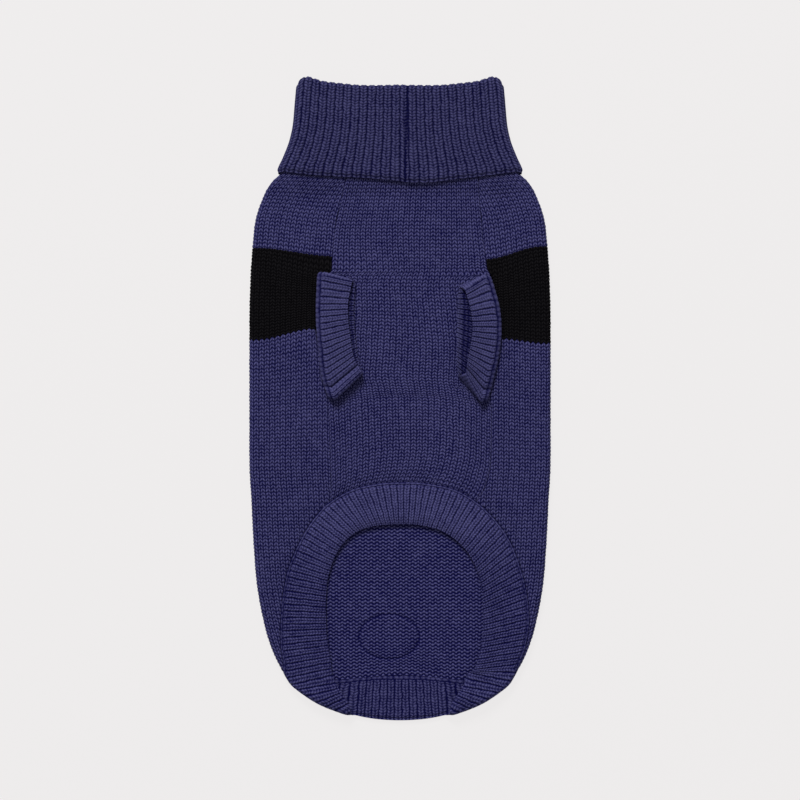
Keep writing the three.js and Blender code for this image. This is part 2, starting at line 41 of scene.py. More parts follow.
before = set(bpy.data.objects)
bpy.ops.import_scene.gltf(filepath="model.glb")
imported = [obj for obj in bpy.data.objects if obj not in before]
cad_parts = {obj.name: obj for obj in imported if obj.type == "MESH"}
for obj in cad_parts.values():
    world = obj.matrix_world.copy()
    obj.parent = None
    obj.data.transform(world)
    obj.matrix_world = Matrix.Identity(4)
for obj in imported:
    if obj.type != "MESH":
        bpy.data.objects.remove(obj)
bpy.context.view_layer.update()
MM = 0.001

# Cloth thicknesses and the gaps between pieces that are sewn together
KNIT = 2.4
RIB_HALF = 1.1
SEAM_OVERLAP = 0.15
HEM_GAP = 0.1

# Between the leg holes the belly's wales stand closer in the middle, and elsewhere wider
BELLY_SQUEEZE = 0.04
BELLY_SQUEEZE_AT = 65
BELLY_SQUEEZE_LENGTH = 40
BELLY_STRETCH = 0.012

# Height of the surface at which the picture's scale holds
VIEW_LEVEL = 0.006

# Heights of the flat body tube: its rounded side folds stand higher than its middle
FOLD_RADIUS = 3.8
NECK_RADIUS = 2.9
FLAT_HEIGHT = 5.8
FOLD_FALL = 25
NECK_LIFT = 2.7
NECK_LIFT_FROM = 140
NECK_LIFT_TO = 157
LEAST_ROUND = 0.15
MOST_ROUND = 0.85
ARCH_BEND_FROM = 0.55

# The turned-down collar
NECK_SEAM = 174.3
COLLAR_CORE_HEIGHT = NECK_LIFT + NECK_RADIUS
COLLAR_INNER_LEG = NECK_RADIUS - RIB_HALF
COLLAR_OUTER_LEG = COLLAR_INNER_LEG + 2.7
COLLAR_BACK_EDGE = 157.8

# The leg cuffs
CUFF_NEAR_RADIUS = 1.4
CUFF_FAR_RADIUS = 4.2
CUFF_NEAR_START = 270
CUFF_FAR_START = 208
CUFF_ROOT = 5.5
HOLE_WIDTH = 6.2

# The hem band
HEM_FOLD = 2.7
HEM_FALL = 1.9
HEM_LEAD = 30
HEM_FOLD_CENTRING = 0.75
QUARTER_TURN = math.pi / 2 * HEM_FOLD

# Stitch and rib counts
BELLY_WALES = 28
BACK_WALES = 48
YOKE_COURSES = 27
BAND_COURSES = 27
LOWER_COURSES = 94
BELLY_COURSES = 97
COLLAR_RIBS = 24
COLLAR_SIDE_RIBS = 3
CUFF_RIBS = 19
COLLAR_COURSES = (22, 4, 31)
COLLAR_FIRST_COURSE = 3
CUFF_BENT_COURSES = 4.4
CUFF_COURSES = 9
HEM_COURSE = 2.0
WALE = 3.7
WALE_COLUMNS = 4
RIB_COLUMNS = 8
COURSE_ROWS = 3
FLAP_REACH = 76

# Relief of the stitches and ribs
STITCH_RISE = 0.6
PURL_RISE = 0.45
PURL_SWING = 0.24
LEG_SLOPE = 0.7
RIB_SLOPE = 0.6
RIB_RISE = 0.8
RIB_STITCH_SHARE = 0.16
CUFF_INSIDE_RISE = 0.6
EDGE_ROLL = 0.5
STITCH_TRIM = 0.4
BAND_TOP_SLOPE = 0.35
COLLAR_CREST = 0.36
CUFF_CREST = 0.39
HEM_CREST = 0.41

# Painted shade of the stitches, dark in their furrows where shade falls: their slope, how bright the
# line between two legs stays, and the least brightness between two courses. Then the brightness of the
# rib pieces and of darkened places, which are dark seams and painted shade.
KNIT_LEGS = (LEG_SLOPE, 0.3, 0.1)
RIB_LEGS = (RIB_SLOPE, 0.45, 0.45)
CUFF_LEGS = (RIB_SLOPE, 0.75, 0.55)
COLLAR_LEGS = (RIB_SLOPE, 0.35, 0.3)
DARK_DEPTH = 2.5
LIGHT_DEPTH = 0.75
PURL_TONE = 1.08
COLLAR_TONE = 0.72
CUFF_TONE = 0.84
HEM_TONE = 1.01
MARK_DEPTH = 0.8
# Painted shade on the hem's sides and tail, below the arch
HEM_SHADE = 0.26
HEM_SHADE_FROM = -90
HEM_SHADE_LENGTH = 35
SHADE_GAIN = 1.3
SHADE_START = 0.2
FUZZ_SHADE = 1.2
TINT_SHADE = 0.65
MOTTLE_SHADE = 0.3
SWIRL_SCALE = 260.0
FUZZ_SCALE = 1500.0
MOTTLE_SCALE = 70.0
BUMP_STRENGTH = 0.8

# The floor, the lights and the camera
FLOOR_HALF = 3.0
FLOOR_BASE = 0.06
FLOOR_GLOW = 0.942
SKY_STRENGTH = 0.4
KEY_SIZE = 1.0
KEY_POWER = 100
KEY_PLACE = (-0.6, 2.4, 2.1)
SENSOR_WIDTH = 36.0
CAMERA_Y = -0.00035

# Seams: the stitched ridge where a rib band starts, in courses, and how the cloth dips at a seam
CUFF_CHAIN = 2.2
HEM_CHAIN = 0.9
TAIL_CHAIN = 1.7
CHAIN_PITCH = 1.3
CHAIN_RISE = 0.35
CUFF_CHAIN_FROM = 0.3
EDGE_FADE = 1.5
EDGE_DIP = 0.3
EDGE_DIP_WIDTH = 1.2
SEAM_RIDGE = 0.35
ARCH_DIP = 0.8
ARCH_DIP_WIDTH = 6
COLLAR_SEAM_RIB = 12.9
COLLAR_SEAM_LEAN = 0.37
COLLAR_SEAM_WIDTH = 0.22
COLLAR_SEAM_MARK = 0.16

# The collar's free edge rolls under, and its ribs hardly stand out where it lies on the floor
COLLAR_ROLL = 1.1
COLLAR_ROLL_COURSES = 1.6
COLLAR_UNDER_SHARE = 0.3

# Ends of the leg holes, the cuffs' lifted free edges and rims, and their thick lower ends
HOLE_TOP = 88
HOLE_BOTTOM = 3
HOLE_ROUND = 4
HOLE_SPREAD = 0.33
CUFF_LEFT_LIFT = 0.6
CUFF_LEFT_RIM = 0.2
CUFF_RIGHT_LIFT = 2.5
CUFF_RIGHT_RIM = 1.6
CUFF_EDGE_COURSES = 1.6
CUFF_UNDER_SHARE = 0.2
CUFF_END_FROM = 0.9
CUFF_END_LENGTH = 0.06
CUFF_END_LIFT = 2.0
CUFF_GROOVE = 1.5
CUFF_GROOVE_WIDTH = 0.022

# The hem's ribs flatten round its fold, and its free edge lifts a little at two places
HEM_FOLD_EASE = 0.55
HEM_ROLL = 1.1
HEM_ROLL_WIDTH = 3.5
HEM_EDGE_LIFT = 0.9
HEM_EDGE_LIFT_WIDTH = 18
TAIL_LIFT = 1.8
TAIL_LIFT_AT = 4.2
TAIL_LIFT_WIDTH = 0.9
HEM_LEAST_END = -1.3

# The seam at the tail bows up in the middle
TAIL_BOW = 3.2
TAIL_BOW_FROM = -170
TAIL_BOW_LENGTH = 26
TAIL_BOW_HALF = 46

# The purl rows that show in the belly opening, and the oval line of stitches among them
PURL_TOP = -75
PURL_COURSE = 2.49
PURL_WALE = 4.1
PURL_HALF = 100
PURL_SHARE = 0.64
OVAL_X = -7.6
OVAL_Y = -166.5
OVAL_HALF_WIDTH = 21
OVAL_HALF_LENGTH = 15.7
OVAL_LINE = 0.8
OVAL_DEPTH = 1.0


def table(columns, rows):
    """Turns rows of numbers into named columns."""
    return dict(zip(columns.split(), np.array(rows, float).T))


# Half width of the body's outline, seen from above
BODY = table("y half", [
    (174.3, 77.4), (164.5, 80.8), (161.0, 81.9), (157.5, 84.2), (153.3, 88.9), (147.7, 93.1),
    (142.1, 95.9), (125.3, 101.5), (114.1, 102.9), (83.3, 105.0), (55.3, 105.7), (-42.7, 105.7),
    (-70.7, 104.3), (-98.7, 102.9), (-126.7, 100.8), (-154.7, 95.9), (-172.2, 91.0),
    (-185.5, 85.1), (-199.5, 77.0),
])

# Half width of the turned-down collar's outline
COLLAR = table("y half", [
    (225.0, 71.6), (220.5, 72.4), (209.3, 73.5), (192.5, 75.0), (181.3, 77.4), (170.1, 81.6),
    (158.9, 86.3), (150.0, 87.4),
])

# The collar's top fold, which rises to an ear near each side
COLLAR_FOLD = table("x y", [
    (0, 220.2), (20, 219.8), (30, 220.1), (40, 221.1), (50, 222.2), (55, 223.0), (60, 224.5),
    (65, 225.8), (69, 225.0), (71.1, 221.0),
])

# The collar's free edge over the chest
COLLAR_EDGE = table("x y", [
    (-86, 159.1), (-65, 156.8), (-28, 154.7), (-3, 152.8), (8, 151.4), (20, 151.4), (36, 153.2),
    (63, 156.1), (86, 159.1),
])

# Rows of the back panel where they meet the belly panel: the height at both side folds, the
# place of both ends, and whether the slit there is a leg hole
ROWS = table("left_fold right_fold left_y left_x right_y right_x slit", [
    (174.3, 174.3, 174.3, 33.8, 174.3, 52.6, 0),
    (161.0, 161.0, 160.0, 36.2, 160.0, 54.0, 0),
    (157.5, 157.5, 156.5, 37.1, 156.5, 54.4, 0),
    (152.0, 152.0, 150.5, 38.5, 150.5, 54.9, 0),
    (146.0, 146.0, 144.0, 40.0, 144.0, 55.4, 0),
    (138.0, 138.0, 135.0, 42.0, 135.0, 56.1, 0),
    (122.5, 123.0, 118.0, 45.6, 117.0, 57.8, 0),
    (105.7, 106.8, 100.1, 47.3, 98.0, 60.1, 0),
    (99.5, 100.0, 90.0, 47.8, 91.0, 61.0, 0),
    (94.5, 95.5, 86.0, 55.0, 85.5, 64.6, 1),
    (82.0, 83.0, 79.0, 58.2, 77.0, 66.4, 1),
    (64.0, 64.0, 66.0, 59.4, 63.0, 69.3, 1),
    (40.6, 38.2, 48.7, 59.3, 41.5, 70.6, 1),
    (27.0, 25.0, 33.6, 56.4, 27.3, 67.4, 1),
    (12.0, 11.0, 16.8, 55.2, 13.3, 64.4, 1),
    (2.0, 1.0, 5.6, 51.9, 4.0, 63.3, 1),
    (-4.5, -5.5, -1.6, 50.4, -3.0, 63.2, 1),
    (-8.5, -9.5, -5.5, 50.2, -7.0, 64.4, 0),
    (-24.0, -24.0, -22.0, 49.5, -22.0, 64.2, 0),
    (-46.0, -46.0, -45.0, 48.6, -45.0, 63.5, 0),
    (-63.0, -63.0, -62.0, 48.2, -62.0, 59.4, 0),
    (-72.3, -72.3, -72.1, 49.7, -71.8, 53.9, 0),
])
BAND_TOP = 7
BAND_BOTTOM = 12
LOWER_STEPS = 24

# The hem band on top, from the left fold over the arch to the right fold: seam and free edge
HEM_TOP = table("seam_x seam_y free_x free_y", [
    (-81.9, -185.5, -49.0, -179.9), (-83.7, -172.2, -50.8, -168.7),
    (-83.7, -154.7, -51.8, -154.7), (-81.9, -135.1, -51.8, -139.3),
    (-77.7, -116.2, -50.4, -124.6), (-70.0, -98.7, -46.2, -111.3),
    (-60.9, -84.0, -39.2, -100.1), (-49.7, -72.1, -30.1, -92.4),
    (-33.6, -63.0, -19.6, -88.9), (-15.4, -58.8, -8.4, -87.5),
    (2.1, -57.8, 2.1, -87.2), (19.6, -58.8, 14.0, -87.9),
    (38.5, -63.0, 26.6, -91.0), (53.9, -71.8, 37.8, -97.3),
    (66.5, -83.8, 46.9, -106.4), (77.0, -98.7, 53.9, -119.7),
    (84.0, -116.2, 57.3, -132.5), (88.8, -135.1, 58.1, -147.5),
    (90.6, -154.7, 58.0, -163.0), (88.4, -172.2, 55.5, -178.5),
    (84.0, -185.5, 51.5, -189.5),
])
ARCH_LEFT = 7
ARCH_RIGHT = 13

# The hem band at the tail: its seam underneath, the fold or outline beyond it, and its free
# edge, on top (1) or underneath (-1)
HEM_TAIL = table("seam_x seam_y fold_x fold_y free_x free_y free_side", [
    (76.4, -196.4, 77.9, -198.2, 47.5, -191.5, 1),
    (66.5, -196.5, 71.0, -204.7, 44.3, -200.0, 1),
    (53.2, -196.2, 58.8, -212.8, 40.6, -205.6, 1),
    (40.6, -196.0, 46.2, -218.3, 35.7, -213.0, 1),
    (29.4, -194.6, 31.6, -222.9, 31.5, -222.5, -1),
    (15.4, -193.5, 17.2, -225.6, 16.8, -224.6, -1),
    (0.0, -193.3, 0.0, -226.6, 0.0, -225.5, -1),
])

# Width of the hem band's ribs at places round it, which count the rows of the two tables above
HEM_PITCH = table("place pitch", [
    (0, 4.3), (6, 4.3), (10, 4.1), (14, 4.3), (20, 4.3), (23, 5.0), (27, 5.15), (31, 5.0), (34, 4.3),
])

# Leg cuffs from the upper end to the lower end: the root on the leg hole's edge, and the free
# edges of the half that shows (far) and of the half under it (near)
CUFF_LEFT = table("root_x root_y far_x far_y near_x near_y", [
    (58.2, 86.0, -33.6, 81.6, -31.4, 80.6), (59.0, 67.4, -36.2, 67.0, -32.4, 66.0),
    (58.8, 50.4, -36.0, 54.0, -32.2, 53.2), (57.2, 33.6, -34.4, 41.5, -31.0, 41.0),
    (55.4, 16.8, -32.3, 29.5, -29.6, 29.0), (51.0, 2.2, -26.8, 19.4, -26.4, 19.4),
])
CUFF_RIGHT = table("root_x root_y far_x far_y near_x near_y", [
    (64.5, 84.0, 45.6, 75.4, 41.2, 79.4), (69.8, 65.0, 49.4, 62.0, 40.4, 67.4),
    (71.2, 47.6, 50.6, 48.6, 40.0, 54.6), (69.6, 31.0, 49.0, 36.4, 39.8, 42.0),
    (66.0, 15.0, 47.0, 26.0, 39.6, 29.4), (62.2, 0.4, 46.2, 18.6, 40.6, 16.8),
])

# Soft ridges (positive) and troughs in the upper layer: both ends, half width and height
CREASES = table("x0 y0 x1 y1 width height", [
    (-30, 20, -22, -30, 7, 0.5),
    (42, 10, 34, -38, 8, 0.6),
    (-62, -6, -80, -40, 8, 0.5),
    (72, -8, 86, -44, 9, 0.5),
    (-60, 96, -84, 122, 8, 0.5),
    (66, 94, 88, 118, 8, 0.5),
    (-12, 120, -8, 60, 12, 0.5),
    (22, 130, 20, 70, 12, 0.4),
])


def lerp(start, end, share):
    """The value at a share of the way from start to end."""
    return start + (end - start) * share


def smooth(value):
    """Rises softly from 0 to 1."""
    share = np.clip(value, 0, 1)
    return share * share * (3 - 2 * share)


def follow(xs, ys):
    """A curve through points that never swings past them, level beyond their ends."""
    order = np.argsort(xs)
    xs, ys = np.asarray(xs, float)[order], np.asarray(ys, float)[order]
    rise = np.diff(ys) / np.diff(xs)
    before = np.concatenate((rise[:1], rise))
    after = np.concatenate((rise, rise[-1:]))
    agree = before * after > 0
    slope = np.where(agree, 2 * before * after / np.where(agree, before + after, 1), 0)

    def value(x):
        at = np.clip(x, xs[0], xs[-1])
        k = np.clip(np.searchsorted(xs, at, side="right") - 1, 0, len(xs) - 2)
        step = xs[k + 1] - xs[k]
        t = (at - xs[k]) / step
        bend = t * (1 - t) * step * (slope[k] * (1 - t) - slope[k + 1] * t)
        return lerp(ys[k], ys[k + 1], smooth(t)) + bend

    return value


def blend(columns, place, closed=False):
    """Blends a table's rows at fractional places, straight on past an open table's ends."""
    n = len(next(iter(columns.values())))
    place = np.asarray(place, float)
    low = np.floor(place).astype(int) if closed else np.clip(np.floor(place).astype(int), 0, n - 2)
    t = place - low
    pick = [(low + k) % n if closed else np.clip(low + k, 0, n - 1) for k in (-1, 0, 1, 2)]
    result = {}
    for name, values in columns.items():
        a, p, q, d = (values[k] for k in pick)
        m, o = (q - a) / 2, (d - p) / 2
        curve = (p * (2 * t**3 - 3 * t**2 + 1) + m * (t**3 - 2 * t**2 + t)
                 + q * (3 * t**2 - 2 * t**3) + o * (t**3 - t**2))
        result[name] = np.where((t < 0) | (t > 1), lerp(p, q, t), curve)
    return result


body_half = follow(BODY["y"], BODY["half"] - STITCH_TRIM)
collar_half = follow(COLLAR["y"], COLLAR["half"])
collar_fold = follow(COLLAR_FOLD["x"], COLLAR_FOLD["y"])
collar_edge = follow(COLLAR_EDGE["x"], COLLAR_EDGE["y"])
hem_pitch = follow(HEM_PITCH["place"], HEM_PITCH["pitch"])


def neck_share(y):
    """How far the body has risen towards the neck, where it lies on the turned-down collar."""
    return smooth((y - NECK_LIFT_FROM) / (NECK_LIFT_TO - NECK_LIFT_FROM))


def underside(y):
    """Height of the body's lowest face."""
    return NECK_LIFT * neck_share(y)


def fold_radius(y):
    """Outer radius of the body's side folds."""
    return lerp(FOLD_RADIUS, NECK_RADIUS, neck_share(y))


def creases(x, y):
    """Height that the listed creases add to the upper layer."""
    total = 0
    for x0, y0, x1, y1, width, height in zip(*CREASES.values()):
        dx, dy = x1 - x0, y1 - y0
        share = np.clip(((x - x0) * dx + (y - y0) * dy) / (dx * dx + dy * dy), 0, 1)
        away = np.hypot(x - x0 - share * dx, y - y0 - share * dy)
        total = total + height * np.sin(math.pi * lerp(0.15, 0.85, share)) * np.exp(-(away / width)**2)
    return total


def arch_distance(x, y):
    """Distance in plan from the hem band's seam round the belly opening."""
    seam = blend(HEM_TOP, np.linspace(ARCH_LEFT - 4, ARCH_RIGHT + 4, 57))
    x, y = np.broadcast_arrays(np.asarray(x, float), np.asarray(y, float))
    away = np.full(x.shape, np.inf)
    for seam_x, seam_y in zip(seam["seam_x"], seam["seam_y"]):
        away = np.minimum(away, np.hypot(x - seam_x, y - seam_y))
    return away


def top_face(x, y):
    """Height of the upper layer's outer face."""
    radius = fold_radius(y)
    inside = body_half(y) - radius - np.abs(x)
    flat = lerp(2 * radius, FLAT_HEIGHT, smooth(inside / FOLD_FALL))
    dip = ARCH_DIP * np.exp(-(arch_distance(x, y) / ARCH_DIP_WIDTH)**2)
    return underside(y) + flat + (creases(x, y) - dip) * smooth(inside / 10)


def along_fold(distance):
    """Length along the cloth from a fold's outermost line, for a place inside the outline."""
    round_part = HEM_FOLD * np.arccos(np.clip(1 - distance / FOLD_RADIUS, -1, 1))
    return np.where(distance >= FOLD_RADIUS, QUARTER_TURN + distance - FOLD_RADIUS, round_part)


def round_fold(radius, along):
    """The same place as a length on the outer face, counted from the flat underside."""
    turn = math.pi / 2 + along / HEM_FOLD
    return (np.maximum(radius * np.minimum(turn, math.pi), LEAST_ROUND * radius)
            + np.maximum(along - QUARTER_TURN, 0))


def hem_stations():
    """Places and cloth lengths of the hem band's stations, all the way round."""
    top, tail = HEM_TOP, HEM_TAIL
    width = np.hypot(top["free_x"] - top["seam_x"], top["free_y"] - top["seam_y"])
    inside = body_half(top["seam_y"]) - np.abs(top["seam_x"])
    lead = np.minimum(inside, HEM_LEAD)
    upper = {
        **top,
        "fold_x": top["seam_x"] + (top["seam_x"] - top["free_x"]) / width * lead,
        "fold_y": top["seam_y"] + (top["seam_y"] - top["free_y"]) / width * lead,
        "seam_at": along_fold(lead),
        "free_at": along_fold(lead + width),
        "panel_at": along_fold(inside),
    }
    seam = np.hypot(tail["fold_x"] - tail["seam_x"], tail["fold_y"] - tail["seam_y"])
    free = np.hypot(tail["fold_x"] - tail["free_x"], tail["fold_y"] - tail["free_y"])
    lower = {name: tail[name] for name in top}
    lower.update(fold_x=tail["fold_x"], fold_y=tail["fold_y"], seam_at=-along_fold(seam),
                 free_at=tail["free_side"] * along_fold(free), panel_at=-along_fold(seam))
    mirrored = {name: (-values if name.endswith("_x") else values)[-2::-1]
                for name, values in lower.items()}
    return {name: np.concatenate((upper[name], lower[name], mirrored[name])) for name in upper}


HEM = hem_stations()
HEM_COUNT = len(HEM["seam_x"])
HEM_RIGHT_END = len(HEM_TOP["seam_x"])
HEM_TAIL_MIDDLE = HEM_RIGHT_END + len(HEM_TAIL["seam_x"]) - 1


def back_rows():
    """Curves for the rows of the back panel, all read at the mean height of a row's two folds."""
    share = np.linspace(0, 1, LOWER_STEPS + 1)[1:]
    left = blend(HEM, ARCH_LEFT - share * (ARCH_LEFT + 1), closed=True)
    right = blend(HEM, lerp(ARCH_RIGHT, HEM_RIGHT_END, share), closed=True)
    lower = {
        "left_fold": left["seam_y"], "right_fold": right["seam_y"],
        "left_y": left["seam_y"], "right_y": right["seam_y"],
        "left_along": left["panel_at"], "right_along": right["panel_at"],
    }
    upper = dict(ROWS)
    for side in ("left", "right"):
        inside = body_half(ROWS[side + "_y"]) - ROWS[side + "_x"]
        upper[side + "_along"] = along_fold(inside)
    rows = {name: np.concatenate((upper[name], lower[name])) for name in lower}
    middle = (rows["left_fold"] + rows["right_fold"]) / 2
    return middle, {name: follow(middle, values) for name, values in rows.items()}


ROW_MIDDLE, ROW = back_rows()


def belly_rows():
    """Curves for the belly panel's rows, all read at the mean height of a row's two ends."""
    middle = (ROWS["left_y"] + ROWS["right_y"]) / 2
    curves = {name: follow(middle, values) for name, values in ROWS.items()}
    curves["place"] = follow(middle, np.linspace(0, 1, len(middle)))
    return middle, curves


BELLY_MIDDLE, BELLY = belly_rows()


def side_points(side, y, along, depth):
    """Points of the body tube beside the flat part of the back, `along` round its fold."""
    radius = fold_radius(y)
    core = body_half(y) - radius
    turn = np.minimum(along / radius, math.pi)
    x = core + (radius - depth) * np.sin(turn) - np.maximum(along - math.pi * radius, 0)
    round_z = underside(y) + radius - (radius - depth) * np.cos(turn)
    z = np.where(turn < math.pi, round_z, top_face(side * x, y) - depth)
    return np.stack((side * x, y, z), axis=-1)


def back_side(sign, row, along, shear, depth):
    """Points of the back panel from the flat part round one side fold to the belly seam."""
    name = "left" if sign < 0 else "right"

    def ends(at):
        radius = fold_radius(ROW[name + "_y"](at))
        reach = round_fold(radius, ROW[name + "_along"](at)) + FOLD_RADIUS - radius
        return radius, reach

    reach = ends(row)[1]
    along = np.minimum(along, reach)
    row = row + shear * smooth((reach - along) / EDGE_FADE)
    radius, reach = ends(row)
    turn = np.minimum(math.pi * radius, MOST_ROUND * reach)
    share = smooth((along - turn) / (reach - turn))
    y = lerp(ROW[name + "_fold"](row), ROW[name + "_y"](row), share)
    return side_points(sign, y, along, depth), reach - along


def back_bottom(row, share, depth, fixed):
    """Points of the back panel's flat part, whose wales run straight down where `fixed` is 1."""
    y = lerp(ROW["left_fold"](row), ROW["right_fold"](row), share)
    core = body_half(y) - fold_radius(y)
    x = lerp(lerp(-core, core, share), lerp(-PURL_HALF, PURL_HALF, share), fixed)
    low = smooth((TAIL_BOW_FROM - row) / TAIL_BOW_LENGTH)
    y = y + TAIL_BOW * low * (1 - smooth(np.abs(x) / TAIL_BOW_HALF))
    return np.stack((x, y, underside(y) + depth), axis=-1)


def uneven(first, second):
    """A repeatable value from 0 to 1 for each stitch."""
    mixed = np.sin(np.floor(first) * 12.9898 + np.floor(second) * 78.233) * 43758.5453
    return np.abs(mixed) % 1


def leg_slope(wales):
    """How far a stitch's legs have risen across its wale, in courses."""
    return LEG_SLOPE * (1 - 2 * np.abs(wales % 1 - 0.5))


def knit_height(wales, phase):
    """Height of plain knit's slanted legs, from 0 to 1."""
    across = 0.55 * np.abs(np.sin(2 * math.pi * wales)) + 0.45 * np.abs(np.sin(math.pi * wales))
    return across * np.abs(np.sin(math.pi * phase)) * lerp(0.75, 1.2, uneven(2 * wales, phase))


def purl_height(wales, courses):
    """Height of the rows of loops on the inside of plain knit, from 0 to 1."""
    rows = 0.5 + 0.5 * np.cos(2 * math.pi * (courses + PURL_SWING * np.cos(2 * math.pi * wales)))
    return rows * (0.6 + 0.4 * np.abs(np.cos(2 * math.pi * wales)))


def rib_height(ribs, crest):
    """Height across a rib: two stitch legs side by side on its crest, and a furrow beside it."""
    away = np.abs(ribs % 1 - 0.5)
    return smooth((crest - away) / 0.16 + 0.5) * (1 - 0.4 * np.exp(-(away / 0.1)**2))


def rib_relief(ribs, courses, rise, crest, chain):
    """Height of ribs with their stitches, which start at a stitched seam where courses are 0."""
    away = np.abs(ribs % 1 - 0.5)
    legs = np.abs(np.sin(math.pi * (courses - RIB_SLOPE * (1 - 2 * away))))
    stitches = 1 - RIB_STITCH_SHARE + RIB_STITCH_SHARE * legs * lerp(0.6, 1.3, uneven(2 * ribs, courses))
    bead = np.abs(np.sin(math.pi * ribs * CHAIN_PITCH))
    ridge = np.sin(math.pi * np.clip(courses / chain, 0, 1))**0.7
    ribbed = rise * rib_height(ribs, crest) * stitches * smooth((courses - chain) / 0.8)
    return CHAIN_RISE * chain * ridge * (0.7 + 0.3 * bead) + ribbed


def oval_line(x, y):
    """1 on the oval line of stitches inside the back, and 0 away from it."""
    away = np.hypot((x - OVAL_X) / OVAL_HALF_WIDTH, (y - OVAL_Y) / OVAL_HALF_LENGTH) - 1
    return np.exp(-(away * OVAL_HALF_LENGTH / OVAL_LINE)**2)


def hole_share(row, y):
    """1 where the belly panel's edge stands back for a leg hole, and 0 beyond the hole's ends."""
    ends = smooth((HOLE_TOP - y) / HOLE_ROUND) * smooth((y - HOLE_BOTTOM) / HOLE_ROUND)
    return BELLY["slit"](row) * ends


class Skin:
    """A grid of points on one face of a piece, with its stitch counts as UV coordinates."""

    def __init__(self, points, wales, courses):
        self.points = points
        shape = points.shape[:2]
        self.uv = np.stack((np.broadcast_to(wales, shape), np.broadcast_to(courses, shape)), axis=-1)

    def add(self, bm):
        """Adds the grid to a bmesh and returns its vertices row by row."""
        rows, columns = self.points.shape[:2]
        made = bmesh.ops.create_grid(bm, x_segments=columns - 1, y_segments=rows - 1, size=1)
        verts = made["verts"]
        for vert, place in zip(verts, (self.points * MM).reshape(-1, 3)):
            vert.co = place
        return [verts[k * columns:(k + 1) * columns] for k in range(rows)]


def sew(bm, first, second):
    """Closes the gap between two rows of vertices with a strip of triangles."""
    i = j = 0
    while i < len(first) - 1 or j < len(second) - 1:
        on_first = j == len(second) - 1 or (
            i < len(first) - 1
            and (first[i + 1].co - second[j].co).length <= (first[i].co - second[j + 1].co).length)
        if on_first:
            bm.faces.new((first[i], first[i + 1], second[j]))
            i += 1
        else:
            bm.faces.new((first[i], second[j + 1], second[j]))
            j += 1


def make_cloth(name, node, outer, inner, materials, ring=False):
    """Makes one closed wall of cloth from its two faces and puts it in its node's place."""
    bm = bmesh.new()
    front = outer.add(bm)
    outside = set(bm.faces)
    back = inner.add(bm)
    inside = set(bm.faces) - outside
    sew(bm, front[0], back[0])
    sew(bm, front[-1], back[-1])
    if not ring:
        sew(bm, [row[0] for row in front], [row[0] for row in back])
        sew(bm, [row[-1] for row in front], [row[-1] for row in back])
    bm.verts.index_update()
    counts = np.concatenate((outer.uv.reshape(-1, 2), inner.uv.reshape(-1, 2)))
    layer = bm.loops.layers.uv.new("stitches")
    for face in bm.faces:
        face.smooth = True
        face.material_index = 0 if face in outside else 1
        for loop in face.loops:
            loop[layer].uv = counts[loop.vert.index]
        if face not in outside and face not in inside:
            for edge in face.edges:
                edge.smooth = False
    bmesh.ops.remove_doubles(bm, verts=bm.verts, dist=2e-6)
    bmesh.ops.recalc_face_normals(bm, faces=bm.faces)
    mesh = bpy.data.meshes.new(name)
    bm.to_mesh(mesh)
    bm.free()
    for material in materials:
        mesh.materials.append(material)
    piece = bpy.data.objects.new(name, mesh)
    bpy.context.scene.collection.objects.link(piece)
    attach(piece, "root")
    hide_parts(node)
    return piece


def back_skins(top, bottom, courses, first_course):
    """The outer face of a stretch of the back panel between two heights of its rows."""
    phase = np.arange(courses * COURSE_ROWS + 1)[:, None] / COURSE_ROWS
    row = lerp(top, bottom, phase / courses)
    length = (top - bottom) / courses
    along = np.arange(0, FLAP_REACH + WALE, WALE / WALE_COLUMNS)[None, :]
    wales = along / WALE
    from_band_top = np.abs(row - ROW_MIDDLE[BAND_TOP]) / length
    slope = leg_slope(wales) * lerp(BAND_TOP_SLOPE, 1, smooth(from_band_top / 2))
    if bottom == ROW_MIDDLE[-1]:
        slope = slope * smooth((courses - phase) / 2)
    sides = {}
    for sign in (-1, 1):
        room = back_side(sign, row, along, length * slope, 0)[1]
        knit = STITCH_RISE * knit_height(wales, phase) * smooth(room / 1.5)
        knit = knit * smooth((along - 0.5) / 4) - EDGE_DIP * smooth(1 - room / EDGE_DIP_WIDTH)
        sides[sign] = back_side(sign, row, along, length * slope, -knit)[0]
    share = np.linspace(0, 1, BACK_WALES + 1)[None, :]
    flat = back_bottom(row, share, 0 * share, 0)
    points = np.concatenate((sides[-1][:, :0:-1], flat, sides[1][:, 1:]), axis=1)
    count = np.concatenate((-wales[:, :0:-1], share * BACK_WALES, BACK_WALES + wales[:, 1:]), axis=1)
    slope = slope + 0 * row
    level = np.concatenate((slope[:, :0:-1], 0 * row * share, slope[:, 1:]), axis=1)
    return Skin(points, count, level - first_course - phase)


